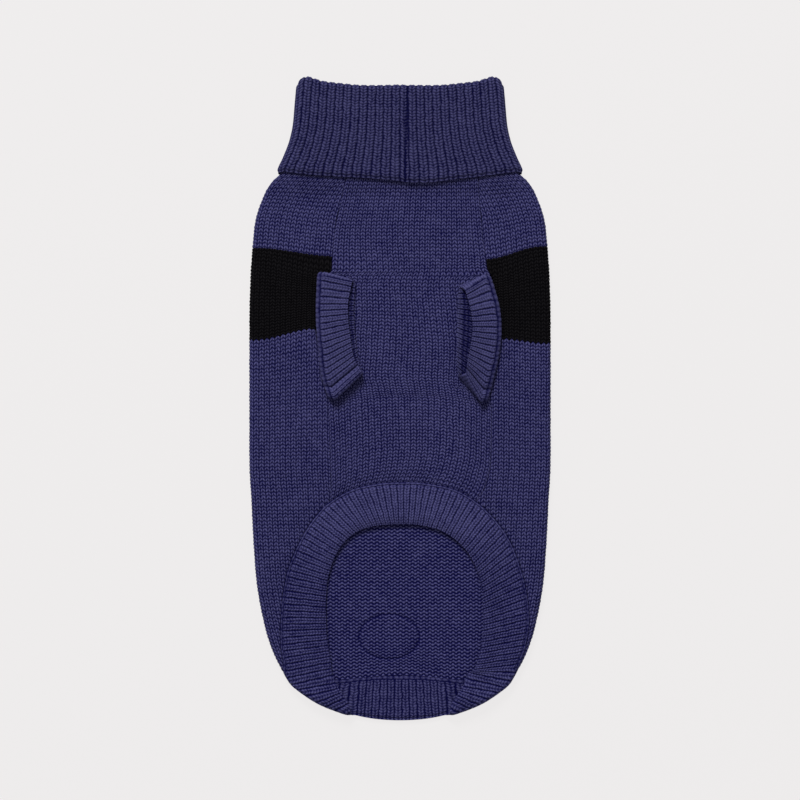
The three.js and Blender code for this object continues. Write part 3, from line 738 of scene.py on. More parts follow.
def back_inner(top, bottom, fine):
    """The inner face of a stretch of the back panel, with purl rows where the opening shows it."""
    row = np.linspace(top, bottom, 41)[:, None]
    share = np.linspace(0, 1, 25)[None, :]
    fixed = 0 * share
    if fine:
        count = round((PURL_TOP - bottom) / PURL_COURSE * COURSE_ROWS)
        row = np.concatenate((np.linspace(top, PURL_TOP, 16)[:-1],
                              np.linspace(PURL_TOP, bottom, count + 1)))[:, None]
        edge = (1 - PURL_SHARE) / 2
        wales = round(PURL_SHARE * 2 * PURL_HALF / PURL_WALE)
        share = np.concatenate((np.linspace(0, edge, 4)[:-1],
                                np.linspace(edge, 1 - edge, wales * WALE_COLUMNS + 1),
                                np.linspace(1 - edge, 1, 4)[1:]))[None, :]
        fixed = smooth(np.minimum(share, 1 - share) / edge)
    along = np.concatenate((np.linspace(0, 12, 5), np.linspace(16, FLAP_REACH + WALE, 10)))[None, :]
    left = back_side(-1, row, along, 0, KNIT)[0]
    right = back_side(1, row, along, 0, KNIT)[0]
    courses = (row - ROW_MIDDLE[0]) / PURL_COURSE
    wales = share * 2 * PURL_HALF / PURL_WALE
    purl = 0 * share * row
    if fine:
        purl = PURL_RISE * purl_height(wales, courses) * smooth((PURL_TOP - row) / 6) * fixed
        flat = back_bottom(row, share, 0 * share, fixed)
        purl = purl - OVAL_DEPTH * oval_line(flat[..., 0], flat[..., 1])
    flat = back_bottom(row, share, KNIT + purl, fixed)
    points = np.concatenate((left[:, :0:-1], flat, right[:, 1:]), axis=1)
    last = 2 * PURL_HALF / PURL_WALE
    count = np.concatenate((-along[:, :0:-1] / WALE, wales, last + along[:, 1:] / WALE), axis=1)
    return Skin(points, count, courses)


def belly_points(row, share, depth):
    """Points of the belly panel, which fills the top between its two seams down to the arch."""
    row = np.asarray(row, float)
    left_y, right_y = BELLY["left_y"](row), BELLY["right_y"](row)
    arch = blend(HEM, lerp(ARCH_LEFT, ARCH_RIGHT, share), closed=True)
    last = {name: ROWS[name][-1] for name in ROWS}
    arch_share = (arch["seam_x"] + last["left_x"]) / (last["left_x"] + last["right_x"])
    near = smooth((BELLY["place"](row) - ARCH_BEND_FROM) / (1 - ARCH_BEND_FROM))
    squeeze = BELLY_SQUEEZE * np.exp(-((row - BELLY_SQUEEZE_AT) / BELLY_SQUEEZE_LENGTH)**2)
    across = share + (squeeze - BELLY_STRETCH) * np.sin(2 * math.pi * share)
    x = lerp(-SEAM_OVERLAP - BELLY["left_x"](row), BELLY["right_x"](row) + SEAM_OVERLAP,
             lerp(across, arch_share, near))
    x = (x + HOLE_WIDTH * hole_share(row, left_y) * (1 - smooth(share / HOLE_SPREAD))
         - HOLE_WIDTH * hole_share(row, right_y) * (1 - smooth((1 - share) / HOLE_SPREAD)))
    y = (lerp(left_y, right_y, share)
         + near * (arch["seam_y"] - lerp(last["left_y"], last["right_y"], share)))
    return np.stack((x, y, top_face(x, y) - depth), axis=-1)


def belly_skins():
    """The two faces of the belly panel."""
    top, bottom = BELLY_MIDDLE[0], BELLY_MIDDLE[-1]
    phase = np.arange(BELLY_COURSES * COURSE_ROWS + 1)[:, None] / COURSE_ROWS
    wales = np.arange(BELLY_WALES * WALE_COLUMNS + 1)[None, :] / WALE_COLUMNS
    length = (top - bottom) / BELLY_COURSES
    share = wales / BELLY_WALES
    slope = leg_slope(wales) * smooth(phase / 2) * smooth((BELLY_COURSES - phase) / 2)
    edge = np.minimum(wales, BELLY_WALES - wales)
    row = lerp(top, bottom, phase / BELLY_COURSES) + length * slope
    knit = STITCH_RISE * knit_height(wales, phase) * smooth(edge * 2 + 0.3)
    seam = SEAM_RIDGE * np.exp(-((edge - 0.7) / 0.45)**2) - EDGE_DIP * smooth(1 - 2.5 * edge)
    arch = -EDGE_DIP * smooth(1 - (BELLY_COURSES - phase) / 1.5)
    outer = Skin(belly_points(row, share, -knit - seam - arch), wales, slope - phase)
    row = np.linspace(top, bottom, 47)[:, None]
    share = np.linspace(0, 1, 15)[None, :]
    courses = -(top - row) / length
    inner = Skin(belly_points(row, share, KNIT + 0 * row * share), share * BELLY_WALES, courses)
    return outer, inner


def collar_point(ring, y, rise):
    """Points of the collar at height `rise` above the core of its flattened ring.

    The ring counts 0 to 1 over the chest, 1 to 2 round the right side, 2 to 3 underneath and
    3 to 4 round the left side.
    """
    core = collar_half(y) - COLLAR_OUTER_LEG - RIB_HALF
    angle = math.pi * (ring - np.where(ring < 2, 1, 2))
    zones = [ring < 1, ring < 2, ring < 3, ring <= 4]
    x = np.select(zones, [lerp(-core, core, ring), core + rise * np.sin(angle),
                          lerp(core, -core, ring - 2), -core + rise * np.sin(angle)])
    z = np.select(zones, [rise, rise * np.cos(angle), -rise, rise * np.cos(angle)])
    return np.stack((x, y + 0 * x, COLLAR_CORE_HEIGHT + z), axis=-1)


def collar_relief(ring):
    """How far the ribs are raised round the ring: fully on top, hardly at all underneath."""
    right = smooth(1 - 1.6 * (ring - 1))
    left = smooth(1 - 1.6 * (4 - ring))
    return np.select([ring < 1, ring < 2, ring < 3, ring <= 4], [1 + 0 * ring, right, 0 * ring, left])


def collar_skins():
    """The two faces of the turned-down collar."""
    middle = (COLLAR_INNER_LEG + COLLAR_OUTER_LEG) / 2
    radius = (COLLAR_OUTER_LEG - COLLAR_INNER_LEG) / 2
    inner_courses, fold_courses, outer_courses = COLLAR_COURSES

    def places(per_top, per_side, per_bottom):
        runs = [(0, COLLAR_RIBS, per_top), (1, COLLAR_SIDE_RIBS, per_side),
                (2, COLLAR_RIBS, per_bottom), (3, COLLAR_SIDE_RIBS, per_side)]
        ring, ribs, before = [], [], 0
        for zone, count, columns in runs:
            share = np.arange(count * columns) / (count * columns)
            ring.append(zone + share)
            ribs.append(before + share * count)
            before += count
        return (np.concatenate((*ring, [4.0]))[None, :], np.concatenate((*ribs, [before]))[None, :])

    def skin(places_round, offset, rise, inner_rows, fold_rows, outer_rows):
        ring, ribs = places_round
        legs = [(0, inner_rows), (1, fold_rows), (2, outer_rows)]
        leg = np.concatenate([k + np.arange(count) / count for k, count in legs] + [[3.0]])[:, None]
        core = collar_half(COLLAR_FOLD["y"].mean()) - COLLAR_OUTER_LEG - RIB_HALF
        flat = (ring < 1) | ((ring >= 2) & (ring < 3))
        x = np.where(flat, np.abs(lerp(-core, core, ring % 1)),
                     core + COLLAR_OUTER_LEG * np.sin(math.pi * (ring % 1)))
        across = lerp(COLLAR_EDGE["x"][0], COLLAR_EDGE["x"][-1], ring % 1)
        edge = np.where(ring < 1, collar_edge(across),
                        lerp(COLLAR_BACK_EDGE, COLLAR_EDGE["y"][-1], collar_relief(ring)))
        top = collar_fold(x) - radius - RIB_HALF - RIB_RISE
        zones = [leg < 1, leg < 2, leg <= 3]
        courses = np.select(zones, [leg * inner_courses, inner_courses + (leg - 1) * fold_courses,
                                    inner_courses + fold_courses + (leg - 2) * outer_courses])
        courses = courses + COLLAR_FIRST_COURSE
        line = COLLAR_SEAM_RIB - COLLAR_SEAM_LEAN * np.clip(leg - 2, 0, 1)
        seam = (ring < 1) * np.exp(-((ribs - line) / COLLAR_SEAM_WIDTH)**2)
        roll = smooth((leg - 3) * outer_courses / COLLAR_ROLL_COURSES + 1)
        relief = rib_relief(ribs, courses, rise, COLLAR_CREST, 1) * np.clip(leg, 0, 1)
        relief = relief * (1 - seam) * (1 - 0.6 * roll)
        hidden = 1 - collar_relief(ring)
        out = offset + lerp(relief, COLLAR_UNDER_SHARE * (relief - rise), hidden)
        out = out - np.sign(offset) * COLLAR_ROLL * roll
        angle = math.pi * (leg - 1)
        y = np.select(zones, [lerp(NECK_SEAM, top, leg), top + (radius + out) * np.sin(angle),
                              lerp(top, edge, leg - 2)])
        height = np.select(zones, [COLLAR_INNER_LEG - out, middle - (radius + out) * np.cos(angle),
                                   COLLAR_OUTER_LEG + out])
        return Skin(collar_point(ring + 0 * leg, y, height), ribs, courses)

    outer = skin(places(RIB_COLUMNS, RIB_COLUMNS, 3), RIB_HALF, RIB_RISE, 5, 9,
                 outer_courses * COURSE_ROWS)
    inner = skin(places(1, 2, 1), -RIB_HALF, 0, 2, 5, 20)
    return outer, inner


def cuff_skins(rows, side, far_lift, near_rim):
    """The two faces of a flattened leg cuff, bent over towards the middle."""
    middle = (CUFF_NEAR_RADIUS + CUFF_FAR_RADIUS) / 2
    half = (CUFF_FAR_RADIUS - CUFF_NEAR_RADIUS) / 2
    last = len(rows["root_y"]) - 1
    length = rows["root_y"][0] - rows["root_y"][-1]
    middle_height = FLAT_HEIGHT - KNIT / 2

    def places(per_far, end, per_near):
        flat_far = np.arange(CUFF_RIBS * per_far) / (CUFF_RIBS * per_far)
        flat_near = np.arange(CUFF_RIBS * per_near) / (CUFF_RIBS * per_near)
        angle = np.arange(end) / end * math.pi
        ones = np.ones_like
        share = np.concatenate((flat_far, ones(angle), 1 - flat_near, 0 * angle, [0.0]))
        radius = np.concatenate((CUFF_FAR_RADIUS * ones(flat_far), middle + half * np.cos(angle),
                                 CUFF_NEAR_RADIUS * ones(flat_near), middle - half * np.cos(angle),
                                 [CUFF_FAR_RADIUS]))
        past = np.concatenate((0 * flat_far, half * np.sin(angle), 0 * flat_near,
                               -half * np.sin(angle), [0.0]))
        way = np.concatenate((ones(flat_far), np.cos(angle), -ones(flat_near), -np.cos(angle), [1.0]))
        past_way = np.concatenate((0 * flat_far, np.sin(angle), 0 * flat_near, -np.sin(angle), [0.0]))
        ribs = np.concatenate((flat_far * CUFF_RIBS, CUFF_RIBS + angle / math.pi,
                               CUFF_RIBS + 1 + flat_near * CUFF_RIBS,
                               2 * CUFF_RIBS + 1 + angle / math.pi, [2 * CUFF_RIBS + 2]))
        return [values[None, :] for values in (share, radius, past, way, past_way, ribs)]

    def skin(ring, offset, rise, bent_rows, straight_rows):
        share, radius, past, way, past_way, ribs = ring
        k = np.concatenate((np.arange(bent_rows) / bent_rows,
                            1 + np.arange(straight_rows + 1) / straight_rows))[:, None]
        bent, reach = np.clip(k, 0, 1), np.clip(k - 1, 0, 1)
        far = (radius - CUFF_NEAR_RADIUS) / (CUFF_FAR_RADIUS - CUFF_NEAR_RADIUS)
        courses = CUFF_BENT_COURSES * (bent - CUFF_CHAIN_FROM) + CUFF_COURSES * reach
        low_end = smooth((share - CUFF_END_FROM) / CUFF_END_LENGTH) * far
        relief = rib_relief(ribs, courses, rise, CUFF_CREST, CUFF_CHAIN) * (1 - 0.6 * low_end)
        relief = relief * (lerp(CUFF_UNDER_SHARE, 1, far) if offset > 0 else -1)
        at_edge = smooth((reach - 1) * CUFF_COURSES / CUFF_EDGE_COURSES + 1)
        out = offset + relief - np.sign(offset) * EDGE_ROLL * at_edge
        groove = np.exp(-((share - CUFF_END_FROM) / CUFF_GROOVE_WIDTH)**2) * far
        lift = (far * far_lift * reach**2 + (1 - far) * near_rim * at_edge
                + bent * (CUFF_END_LIFT * low_end - CUFF_GROOVE * groove))
        row = blend(rows, (share + (past + past_way * out) / length) * last)
        angle = np.radians(lerp(lerp(CUFF_NEAR_START, CUFF_FAR_START, far), 90, bent))
        turned = radius + way * out
        axis_x = side * (row["root_x"] - CUFF_ROOT)
        x = (lerp(axis_x, lerp(row["near_x"], row["far_x"], far), reach)
             - side * turned * np.cos(angle))
        y = lerp(row["root_y"], lerp(row["near_y"], row["far_y"], far), reach)
        z = middle_height + CUFF_NEAR_RADIUS + turned * np.sin(angle) + lift
        return Skin(np.stack((x, y, z), axis=-1), ribs, courses)

    outer = skin(places(RIB_COLUMNS, 8, 3), RIB_HALF, RIB_RISE, 9, 27)
    inner = skin(places(4, 8, RIB_COLUMNS), -RIB_HALF, CUFF_INSIDE_RISE, 4, 27)
    return outer, inner


def even_hem_places(per_rib):
    """Stations of the hem at the ribs' own spacing along the middle of the band."""
    fine = np.linspace(0, HEM_COUNT, HEM_COUNT * 16 + 1)
    row = blend(HEM, fine, closed=True)
    x, y = (row["seam_x"] + row["free_x"]) / 2, (row["seam_y"] + row["free_y"]) / 2
    pitch = hem_pitch((fine[1:] + fine[:-1]) / 2)
    ribs = np.concatenate(([0], np.cumsum(np.hypot(np.diff(x), np.diff(y)) / pitch)))
    count = round(ribs[-1])
    step = np.arange(count * per_rib + 1) / per_rib
    return np.interp(step * ribs[-1] / count, ribs, fine), step


def hem_points(row, along, out):
    """Points of the hem band `along` the cloth from its fold, `out` of its middle surface."""
    under_x, under_y = row["seam_x"] - row["fold_x"], row["seam_y"] - row["fold_y"]
    over_x, over_y = row["free_x"] - row["fold_x"], row["free_y"] - row["fold_y"]
    under = np.stack((under_x, under_y)) / np.hypot(under_x, under_y)
    over = np.stack((over_x, over_y)) / np.hypot(over_x, over_y)
    under, over = (np.where(row["seam_at"] > 0, over, under),
                   np.where(row["free_at"] < 0, under, over))
    turn = np.clip(along / HEM_FOLD + math.pi / 2, 0, math.pi)
    inward = lerp(under, over, smooth(turn / math.pi))
    inward = inward / np.hypot(*inward)
    past = np.maximum(np.abs(along) - QUARTER_TURN, 0)
    distance = FOLD_RADIUS - (HEM_FOLD + out) * np.sin(turn) + past
    fall = HEM_FALL * smooth((along - QUARTER_TURN) / FOLD_FALL)
    z = RIB_HALF + HEM_FOLD - (HEM_FOLD + out) * np.cos(turn) - fall
    return np.stack((row["fold_x"] + inward[0] * distance, row["fold_y"] + inward[1] * distance, z),
                    axis=-1)


def hem_skins():
    """The two faces of the hem band."""

    def skin(per_rib, rows, side, chain):
        place, ribs = even_hem_places(per_rib)
        ribs = ribs[None, :]
        row = {name: values[None, :] for name, values in blend(HEM, place, closed=True).items()}
        start, end = row["seam_at"] + HEM_GAP, np.maximum(row["free_at"], HEM_LEAST_END)
        q = QUARTER_TURN
        ideal = np.stack([start, (start - q) / 2, -q + 0 * start, -q / 2 + 0 * start, 0 * start,
                          q / 2 + 0 * start, q + 0 * start, (q + end) / 2, end])
        share = np.linspace(0, 1, 9)[:, None, None]
        centred = lerp(lerp(start, end, share), np.clip(ideal, start, end), HEM_FOLD_CENTRING)
        k = np.linspace(0, 8, rows + 1)
        low = np.minimum(k.astype(int), 7)
        along = lerp(centred[low, 0], centred[low + 1, 0], (k - low)[:, None])
        courses = (along - start) / HEM_COURSE
        folded = np.cos(np.clip(along / HEM_FOLD, -math.pi / 2, math.pi / 2))
        shown = smooth(side * along / 4 + 0.2) * (1 - HEM_FOLD_EASE * folded)
        roll = smooth(1 - (end - along) / HEM_ROLL_WIDTH)
        relief = rib_relief(ribs, courses, RIB_RISE, HEM_CREST, chain) * shown * (1 - 0.8 * roll)
        points = hem_points(row, along, side * (RIB_HALF + relief - HEM_ROLL * roll))
        from_lift = (np.abs(place - HEM_TAIL_MIDDLE) - TAIL_LIFT_AT) / TAIL_LIFT_WIDTH
        lift = (HEM_EDGE_LIFT * smooth(1 - (end - along) / HEM_EDGE_LIFT_WIDTH)
                + TAIL_LIFT * np.exp(-from_lift**2))
        points[..., 2] += smooth(along / 6) * lift
        return Skin(points, ribs, courses)

    return skin(RIB_COLUMNS, 45, 1, HEM_CHAIN), skin(4, 36, -1, TAIL_CHAIN)


class Wire:
    """A shader socket with arithmetic, so that shader maths reads as plain expressions."""

    def __init__(self, tree, socket):
        self.tree = tree
        self.socket = socket

    def node(self, kind, settings=None, output=0, **values):
        """Adds a node, gives it its settings and then its sockets' values or links."""
        made = self.tree.nodes.new(kind)
        for name, value in (settings or {}).items():
            if name == "stops":
                for stop, (place, colour) in zip(made.color_ramp.elements, value):
                    stop.position, stop.color = place, colour
            else:
                setattr(made, name, value)
        for name, value in values.items():
            key = int(name[1:]) if name[1:].isdigit() else name.replace("_", " ")
            if isinstance(value, Wire):
                self.tree.links.new(made.inputs[key], value.socket)
            else:
                made.inputs[key].default_value = value
        return Wire(self.tree, made.outputs[output])

    def maths(self, operation, first, second=0.0):
        return self.node("ShaderNodeMath", {"operation": operation}, i0=first, i1=second)

    def __add__(self, other):
        return self.maths("ADD", self, other)

    def __sub__(self, other):
        return self.maths("SUBTRACT", self, other)

    def __mul__(self, other):
        return self.maths("MULTIPLY", self, other)

    def __truediv__(self, other):
        return self.maths("DIVIDE", self, other)

    def __pow__(self, other):
        return self.maths("POWER", self, other)

    def __radd__(self, other):
        return self.maths("ADD", other, self)

    def __rsub__(self, other):
        return self.maths("SUBTRACT", other, self)

    def __rmul__(self, other):
        return self.maths("MULTIPLY", other, self)

    def fraction(self):
        return self.maths("FRACT", self)

    def size(self):
        return self.maths("ABSOLUTE", self)

    def limited(self):
        """The value kept between 0 and 1."""
        return self.node("ShaderNodeClamp", Value=self)

    def parts(self):
        """The three components of a vector or colour."""
        made = self.node("ShaderNodeSeparateXYZ", Vector=self)
        return [Wire(self.tree, socket) for socket in made.socket.node.outputs]

    def wave(self):
        """The sine of the value counted in half turns."""
        return self.maths("SINE", self * math.pi)


def mix_colour(wire, share, first, second):
    """Mixes two colours."""
    settings = {"data_type": "RGBA"}
    return wire.node("ShaderNodeMix", settings, output=2, i0=share, i6=first, i7=second)


def cloth_material(name, yarn, stitch, chain=0, tone=1.0, marks=None):
    """A matte woollen cloth.

    `stitch` shades plain knit or rib as painted shade between the stitches, and none gives purl. `chain`
    is the width in courses of the seam that ribs start at, `tone` scales the brightness, and `marks`
    gives
    the places that are darkened: dark seams and stitch lines, and painted shade.
    """
    settings = bpy.context.scene.sweater_colours
    material = bpy.data.materials.new(name)
    material.use_nodes = True
    tree = material.node_tree
    shader = tree.nodes["Principled BSDF"]
    start = Wire(tree, None)
    place = start.node("ShaderNodeTexCoord", output=3)
    swirl = start.node("ShaderNodeTexNoise", output=1, Vector=place, Scale=SWIRL_SCALE, Detail=2.0)
    bend_wales, bend_courses, tint = swirl.parts()
    wales, courses, _ = start.node("ShaderNodeUVMap", {"uv_map": "stitches"}).parts()
    wales = wales + (bend_wales - 0.5) * settings.wander
    courses = courses + (bend_courses - 0.5) * (settings.wander * 1.3)
    away = (wales.fraction() - 0.5).size()
    twin = (wales * 2).wave().size()
    if stitch is None:
        swing = (wales * 2 + 0.5).wave() * PURL_SWING
        loops = (wales * 2 + 0.5).wave().size()
        height = (((courses + swing) * 2 + 0.5).wave() * 0.5 + 0.5) * (loops * 0.65 + 0.35)
    else:
        slope, split, least = stitch
        legs = (courses - (1 - away * 2) * slope).wave().size()
        across = twin + (1 - twin) * (1 - away / 0.25).limited() * split
        height = across * (legs * (1 - least) + least)
    if chain:
        bead = (wales * CHAIN_PITCH).wave().size()
        seam = (courses / chain).limited().wave() * (bead * 0.4 + 0.4)
        height = height + (seam - height) * ((chain - courses) * 4 + 0.5).limited()
    fuzz = start.node("ShaderNodeTexNoise", Vector=place, Scale=FUZZ_SCALE, Detail=2.0)
    mottle = start.node("ShaderNodeTexNoise", Vector=place, Scale=MOTTLE_SCALE, Detail=2.0)
    # Painted shade: the colour darkens where the stitch relief is low, in the furrows between legs,
    # wales and courses. The noises add the yarn's own uneven tone.
    shade = (height * SHADE_GAIN - SHADE_START + (fuzz - 0.5) * FUZZ_SHADE
             + (tint - 0.5) * TINT_SHADE + (mottle - 0.5) * MOTTLE_SHADE)
    # Marks darken the dark seam lines and paint shade on the hem's sides and inside the cuffs
    if marks:
        shade = shade - marks(place, wales, courses) * MARK_DEPTH
    light_tone = settings.crest * tone
    # The painted shade's colour, a deeper blue than the lit yarn's
    dark = [*(settings.furrow * tone * yarn[2] * (value / yarn[2])**DARK_DEPTH for value in yarn), 1]
    light = [*(light_tone * yarn[2] * (value / yarn[2])**LIGHT_DEPTH for value in yarn), 1]
    colour = mix_colour(start, shade.limited(), dark, light)
    rough_height = height * 0.7 + fuzz * 0.3
    bump = start.node("ShaderNodeBump", Strength=BUMP_STRENGTH, Distance=0.001, Height=rough_height)
    tree.links.new(shader.inputs["Base Color"], colour.socket)
    tree.links.new(shader.inputs["Normal"], bump.socket)
    shader.inputs["Roughness"].default_value = 0.95
    shader.inputs["Specular IOR Level"].default_value = 0.05
    shader.inputs["Sheen Weight"].default_value = settings.sheen * yarn[2] / settings.indigo[2]
    shader.inputs["Sheen Tint"].default_value = (0.3, 0.3, 0.65, 1)
    shader.inputs["Sheen Roughness"].default_value = 0.5
    return material


class SweaterColours(bpy.types.PropertyGroup):
    """Colours of the yarns and of the floor."""

    indigo: bpy.props.FloatVectorProperty(
        name="Indigo", description="Colour of the main yarn", subtype="COLOR",
        default=(0.036, 0.035, 0.125))
    black: bpy.props.FloatVectorProperty(
        name="Black", description="Colour of the band's yarn", subtype="COLOR",
        default=(0.0046, 0.0041, 0.0052))
    floor: bpy.props.FloatVectorProperty(
        name="Floor", description="Colour of the surface under the sweater", subtype="COLOR",
        default=(0.855, 0.839, 0.839))
    # Painted shade: how dark the yarn's colour is made deep between stitches, where shade falls
    furrow: bpy.props.FloatProperty(
        name="Furrow", description="Brightness of the yarn deep between stitches", default=0.306)
    crest: bpy.props.FloatProperty(
        name="Crest", description="Brightness of the yarn on top of the stitches", default=1.58)
    wander: bpy.props.FloatProperty(
        name="Wander", description="How far a stitch strays from its place, in wales", default=0.4)
    sheen: bpy.props.FloatProperty(
        name="Sheen", description="Strength of the soft glow of loose fibres", default=0.08)


class SweaterView(bpy.types.PropertyGroup):
    """The camera over the sweater."""

    width: bpy.props.FloatProperty(
        name="Width", description="Width of the floor that the picture shows", unit="LENGTH",
        default=0.56)
    lens: bpy.props.FloatProperty(
        name="Lens", description="Focal length in millimetres", default=85.0)


def collar_seam_mark(place, wales, courses):
    """The collar's dark seam, which leans a little as it runs down the front."""
    first = sum(COLLAR_COURSES[:2]) + COLLAR_FIRST_COURSE
    line = COLLAR_SEAM_RIB - (courses - first) * (COLLAR_SEAM_LEAN / COLLAR_COURSES[2])
    return (1.3 - ((wales - line) / COLLAR_SEAM_MARK).size()).limited()


def oval_mark(place, wales, courses):
    """The oval line of stitches inside the back."""
    x, y, _ = place.parts()
    across, along = (x / MM - OVAL_X) / OVAL_HALF_WIDTH, (y / MM - OVAL_Y) / OVAL_HALF_LENGTH
    away = (across * across + along * along)**0.5 - 1
    return (1.2 - (away * (OVAL_HALF_LENGTH / OVAL_LINE)).size()).limited() * 0.6


def hem_side_painted_shade(place, wales, courses):
    """Painted shade that makes the hem's sides and tail a little darker than its arch."""
    _, y, _ = place.parts()
    return ((HEM_SHADE_FROM - y / MM) / HEM_SHADE_LENGTH).limited() * HEM_SHADE


def cuff_inside_painted_shade(rim_courses, shade):
    """Painted shade inside a cuff, behind its rim."""
    rim = CUFF_BENT_COURSES * (1 - CUFF_CHAIN_FROM) + CUFF_COURSES - rim_courses

    def mark(place, wales, courses):
        return ((rim - courses) * 2).limited() * shade

    return mark


def knit_materials(colour, name, marks=None):
    """Outer and inner face of plain knit."""
    return [cloth_material(name + "_knit", colour, KNIT_LEGS),
            cloth_material(name + "_purl", colour, None, tone=PURL_TONE, marks=marks)]


class SWEATER_OT_back(bpy.types.Operator):
    """Make the back panel, with the black band knitted in"""

    bl_idname = "sweater.back"
    bl_label = "Back Panel"

    def execute(self, context):
        colours = context.scene.sweater_colours
        indigo = knit_materials(colours.indigo, "indigo_back", oval_mark)
        black = knit_materials(colours.black, "black_band")
        band_top, band_bottom = ROW_MIDDLE[BAND_TOP], ROW_MIDDLE[BAND_BOTTOM]
        stretches = [
            ("back_yoke", "indigo_knit", indigo, ROW_MIDDLE[0], band_top, YOKE_COURSES, 0),
            ("back_band", "black_knit", black, band_top, band_bottom, BAND_COURSES, YOKE_COURSES),
            ("back_lower", "indigo_knit", indigo, band_bottom, ROW_MIDDLE[-1], LOWER_COURSES,
             YOKE_COURSES + BAND_COURSES),
        ]
        for name, slot, materials, top, bottom, courses, before in stretches:
            outer = back_skins(top, bottom, courses, before)
            inner = back_inner(top, bottom, name == "back_lower")
            piece = make_cloth(name + "_cloth", name, outer, inner, materials)
            width = 2 * MM * (body_half(top) + body_half(bottom)) * 0.75
            (top - bottom) * MM
        return {"FINISHED"}


class SWEATER_OT_belly(bpy.types.Operator):
    """Make the belly panel"""

    bl_idname = "sweater.belly"
    bl_label = "Belly Panel"

    def execute(self, context):
        materials = knit_materials(context.scene.sweater_colours.indigo, "indigo_belly")
        outer, inner = belly_skins()
        piece = make_cloth("belly_cloth", "belly_panel", outer, inner, materials)
        return {"FINISHED"}


class SWEATER_OT_collar(bpy.types.Operator):
    """Make the turned-down rib collar"""

    bl_idname = "sweater.collar"
    bl_label = "Collar"

    def execute(self, context):
        indigo = context.scene.sweater_colours.indigo
        material = cloth_material("indigo_collar", indigo, COLLAR_LEGS, 1, COLLAR_TONE, collar_seam_mark)
        outer, inner = collar_skins()
        piece = make_cloth("collar_cloth", "collar", outer, inner, [material, material], True)
        return {"FINISHED"}


class SWEATER_OT_cuffs(bpy.types.Operator):
    """Make the two rib leg cuffs"""

    bl_idname = "sweater.cuffs"
    bl_label = "Leg Cuffs"

    def execute(self, context):
        indigo = context.scene.sweater_colours.indigo
        outside = cloth_material("indigo_cuff", indigo, CUFF_LEGS, CUFF_CHAIN, CUFF_TONE)
        # The last pair gives each cuff's painted shade inside: the rim courses left unshaded, and the
        # shade's depth
        cuffs = [("cuff_left", CUFF_LEFT, -1, CUFF_LEFT_LIFT, CUFF_LEFT_RIM, (0, 0.55)),
                 ("cuff_right", CUFF_RIGHT, 1, CUFF_RIGHT_LIFT, CUFF_RIGHT_RIM, (0.9, 0.65))]
        for name, rows, side, far_lift, near_rim, inside_painted_shade in cuffs:
            mark = cuff_inside_painted_shade(*inside_painted_shade)
            inside = cloth_material("indigo_inside_" + name, indigo, CUFF_LEGS, CUFF_CHAIN,
                                    CUFF_TONE, mark)
            outer, inner = cuff_skins(rows, side, far_lift, near_rim)
            piece = make_cloth(name + "_cloth", name, outer, inner, [outside, inside], True)
        return {"FINISHED"}


class SWEATER_OT_hem(bpy.types.Operator):
    """Make the rib hem band round the belly opening and the tail"""

    bl_idname = "sweater.hem"
    bl_label = "Hem Band"

    def execute(self, context):
        indigo = context.scene.sweater_colours.indigo
        materials = [cloth_material(name, indigo, RIB_LEGS, chain, HEM_TONE, hem_side_painted_shade)
                     for name, chain in (("indigo_hem", HEM_CHAIN), ("indigo_hem_inside", TAIL_CHAIN))]
        outer, inner = hem_skins()
        piece = make_cloth("hem_cloth", "hem_band", outer, inner, materials, True)
        return {"FINISHED"}


def add_light(name, size, power, place, target):
    """Adds a square area light that points at a target."""
    data = bpy.data.lights.new(name, "AREA")
    data.size = size
    data.energy = power
    light = bpy.data.objects.new(name, data)
    bpy.context.scene.collection.objects.link(light)
    light.location = place
    light.rotation_euler = (Vector(target) - Vector(place)).to_track_quat("-Z", "Y").to_euler()


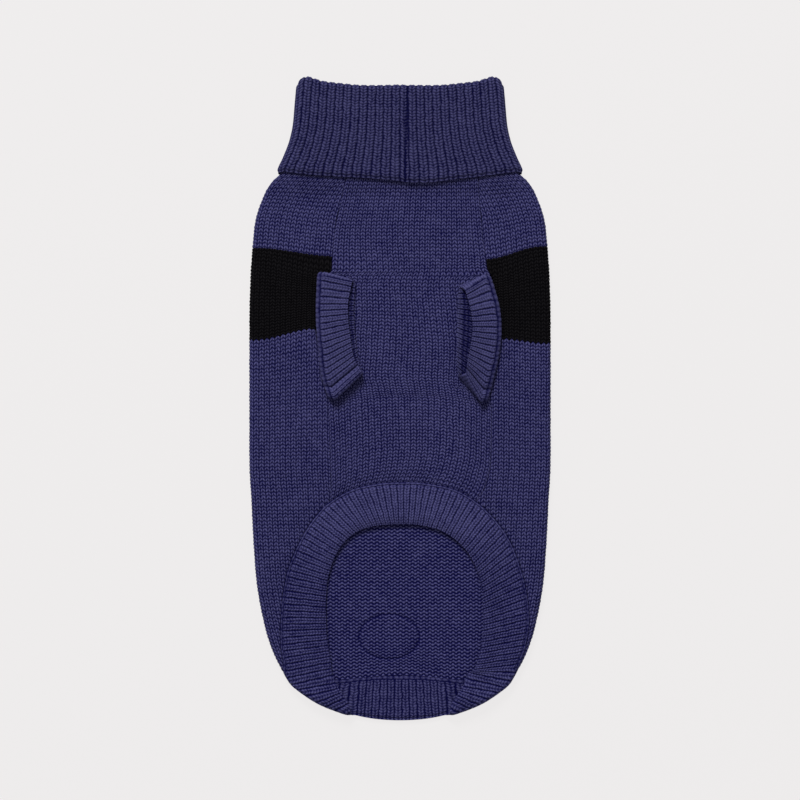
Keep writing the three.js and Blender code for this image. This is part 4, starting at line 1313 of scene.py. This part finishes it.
class SWEATER_OT_stage(bpy.types.Operator):
    """Make the floor, the lights and the camera"""

    bl_idname = "sweater.stage"
    bl_label = "Stage"

    def execute(self, context):
        scene = context.scene
        colours, view = scene.sweater_colours, scene.sweater_view
        bm = bmesh.new()
        bmesh.ops.create_grid(bm, x_segments=1, y_segments=1, size=FLOOR_HALF)
        mesh = bpy.data.meshes.new("floor")
        bm.to_mesh(mesh)
        bm.free()
        floor = bpy.data.objects.new("floor", mesh)
        scene.collection.objects.link(floor)
        material = bpy.data.materials.new("floor_white")
        material.use_nodes = True
        shader = material.node_tree.nodes["Principled BSDF"]
        shader.inputs["Base Color"].default_value = (*(value * FLOOR_BASE for value in colours.floor), 1)
        shader.inputs["Emission Color"].default_value = (*colours.floor, 1)
        shader.inputs["Emission Strength"].default_value = FLOOR_GLOW
        shader.inputs["Roughness"].default_value = 0.9
        shader.inputs["Specular IOR Level"].default_value = 0.0
        mesh.materials.append(material)

        scene.world = bpy.data.worlds.new("studio")
        scene.world.use_nodes = True
        background = scene.world.node_tree.nodes["Background"]
        background.inputs["Color"].default_value = (1, 1, 1, 1)
        background.inputs["Strength"].default_value = SKY_STRENGTH
        add_light("key", KEY_SIZE, KEY_POWER, KEY_PLACE, (0, 0, 0))

        camera_data = bpy.data.cameras.new("camera")
        camera_data.lens = view.lens
        camera_data.sensor_width = SENSOR_WIDTH
        camera = bpy.data.objects.new("camera", camera_data)
        scene.collection.objects.link(camera)
        camera.location = (0, CAMERA_Y, VIEW_LEVEL + view.width * view.lens / SENSOR_WIDTH)
        scene.camera = camera
        scene.view_settings.view_transform = "Standard"
        scene.view_settings.look = "None"
        return {"FINISHED"}


class SWEATER_PT_panel(bpy.types.Panel):
    """Buttons for the sweater's pieces, its colours and its view"""

    bl_label = "Dog Sweater"
    bl_idname = "SWEATER_PT_panel"
    bl_space_type = "VIEW_3D"
    bl_region_type = "UI"
    bl_category = "Sweater"

    def draw(self, context):
        for name in ("indigo", "black", "floor", "furrow", "crest", "wander", "sheen"):
            self.layout.prop(context.scene.sweater_colours, name)
        for name in ("width", "lens"):
            self.layout.prop(context.scene.sweater_view, name)
        for operator in OPERATORS:
            self.layout.operator(operator.bl_idname)


OPERATORS = (SWEATER_OT_stage, SWEATER_OT_back, SWEATER_OT_belly, SWEATER_OT_collar,
             SWEATER_OT_cuffs, SWEATER_OT_hem)
CLASSES = (SweaterColours, SweaterView, *OPERATORS, SWEATER_PT_panel)


def register():
    for cls in CLASSES:
        bpy.utils.register_class(cls)
    bpy.types.Scene.sweater_colours = bpy.props.PointerProperty(type=SweaterColours)
    bpy.types.Scene.sweater_view = bpy.props.PointerProperty(type=SweaterView)


def unregister():
    del bpy.types.Scene.sweater_view
    del bpy.types.Scene.sweater_colours
    for cls in reversed(CLASSES):
        bpy.utils.unregister_class(cls)


def main():
    register()
    bpy.ops.sweater.stage()
    bpy.ops.sweater.back()
    bpy.ops.sweater.belly()
    bpy.ops.sweater.collar()
    bpy.ops.sweater.cuffs()
    bpy.ops.sweater.hem()


if __name__ == "__main__":
    main()
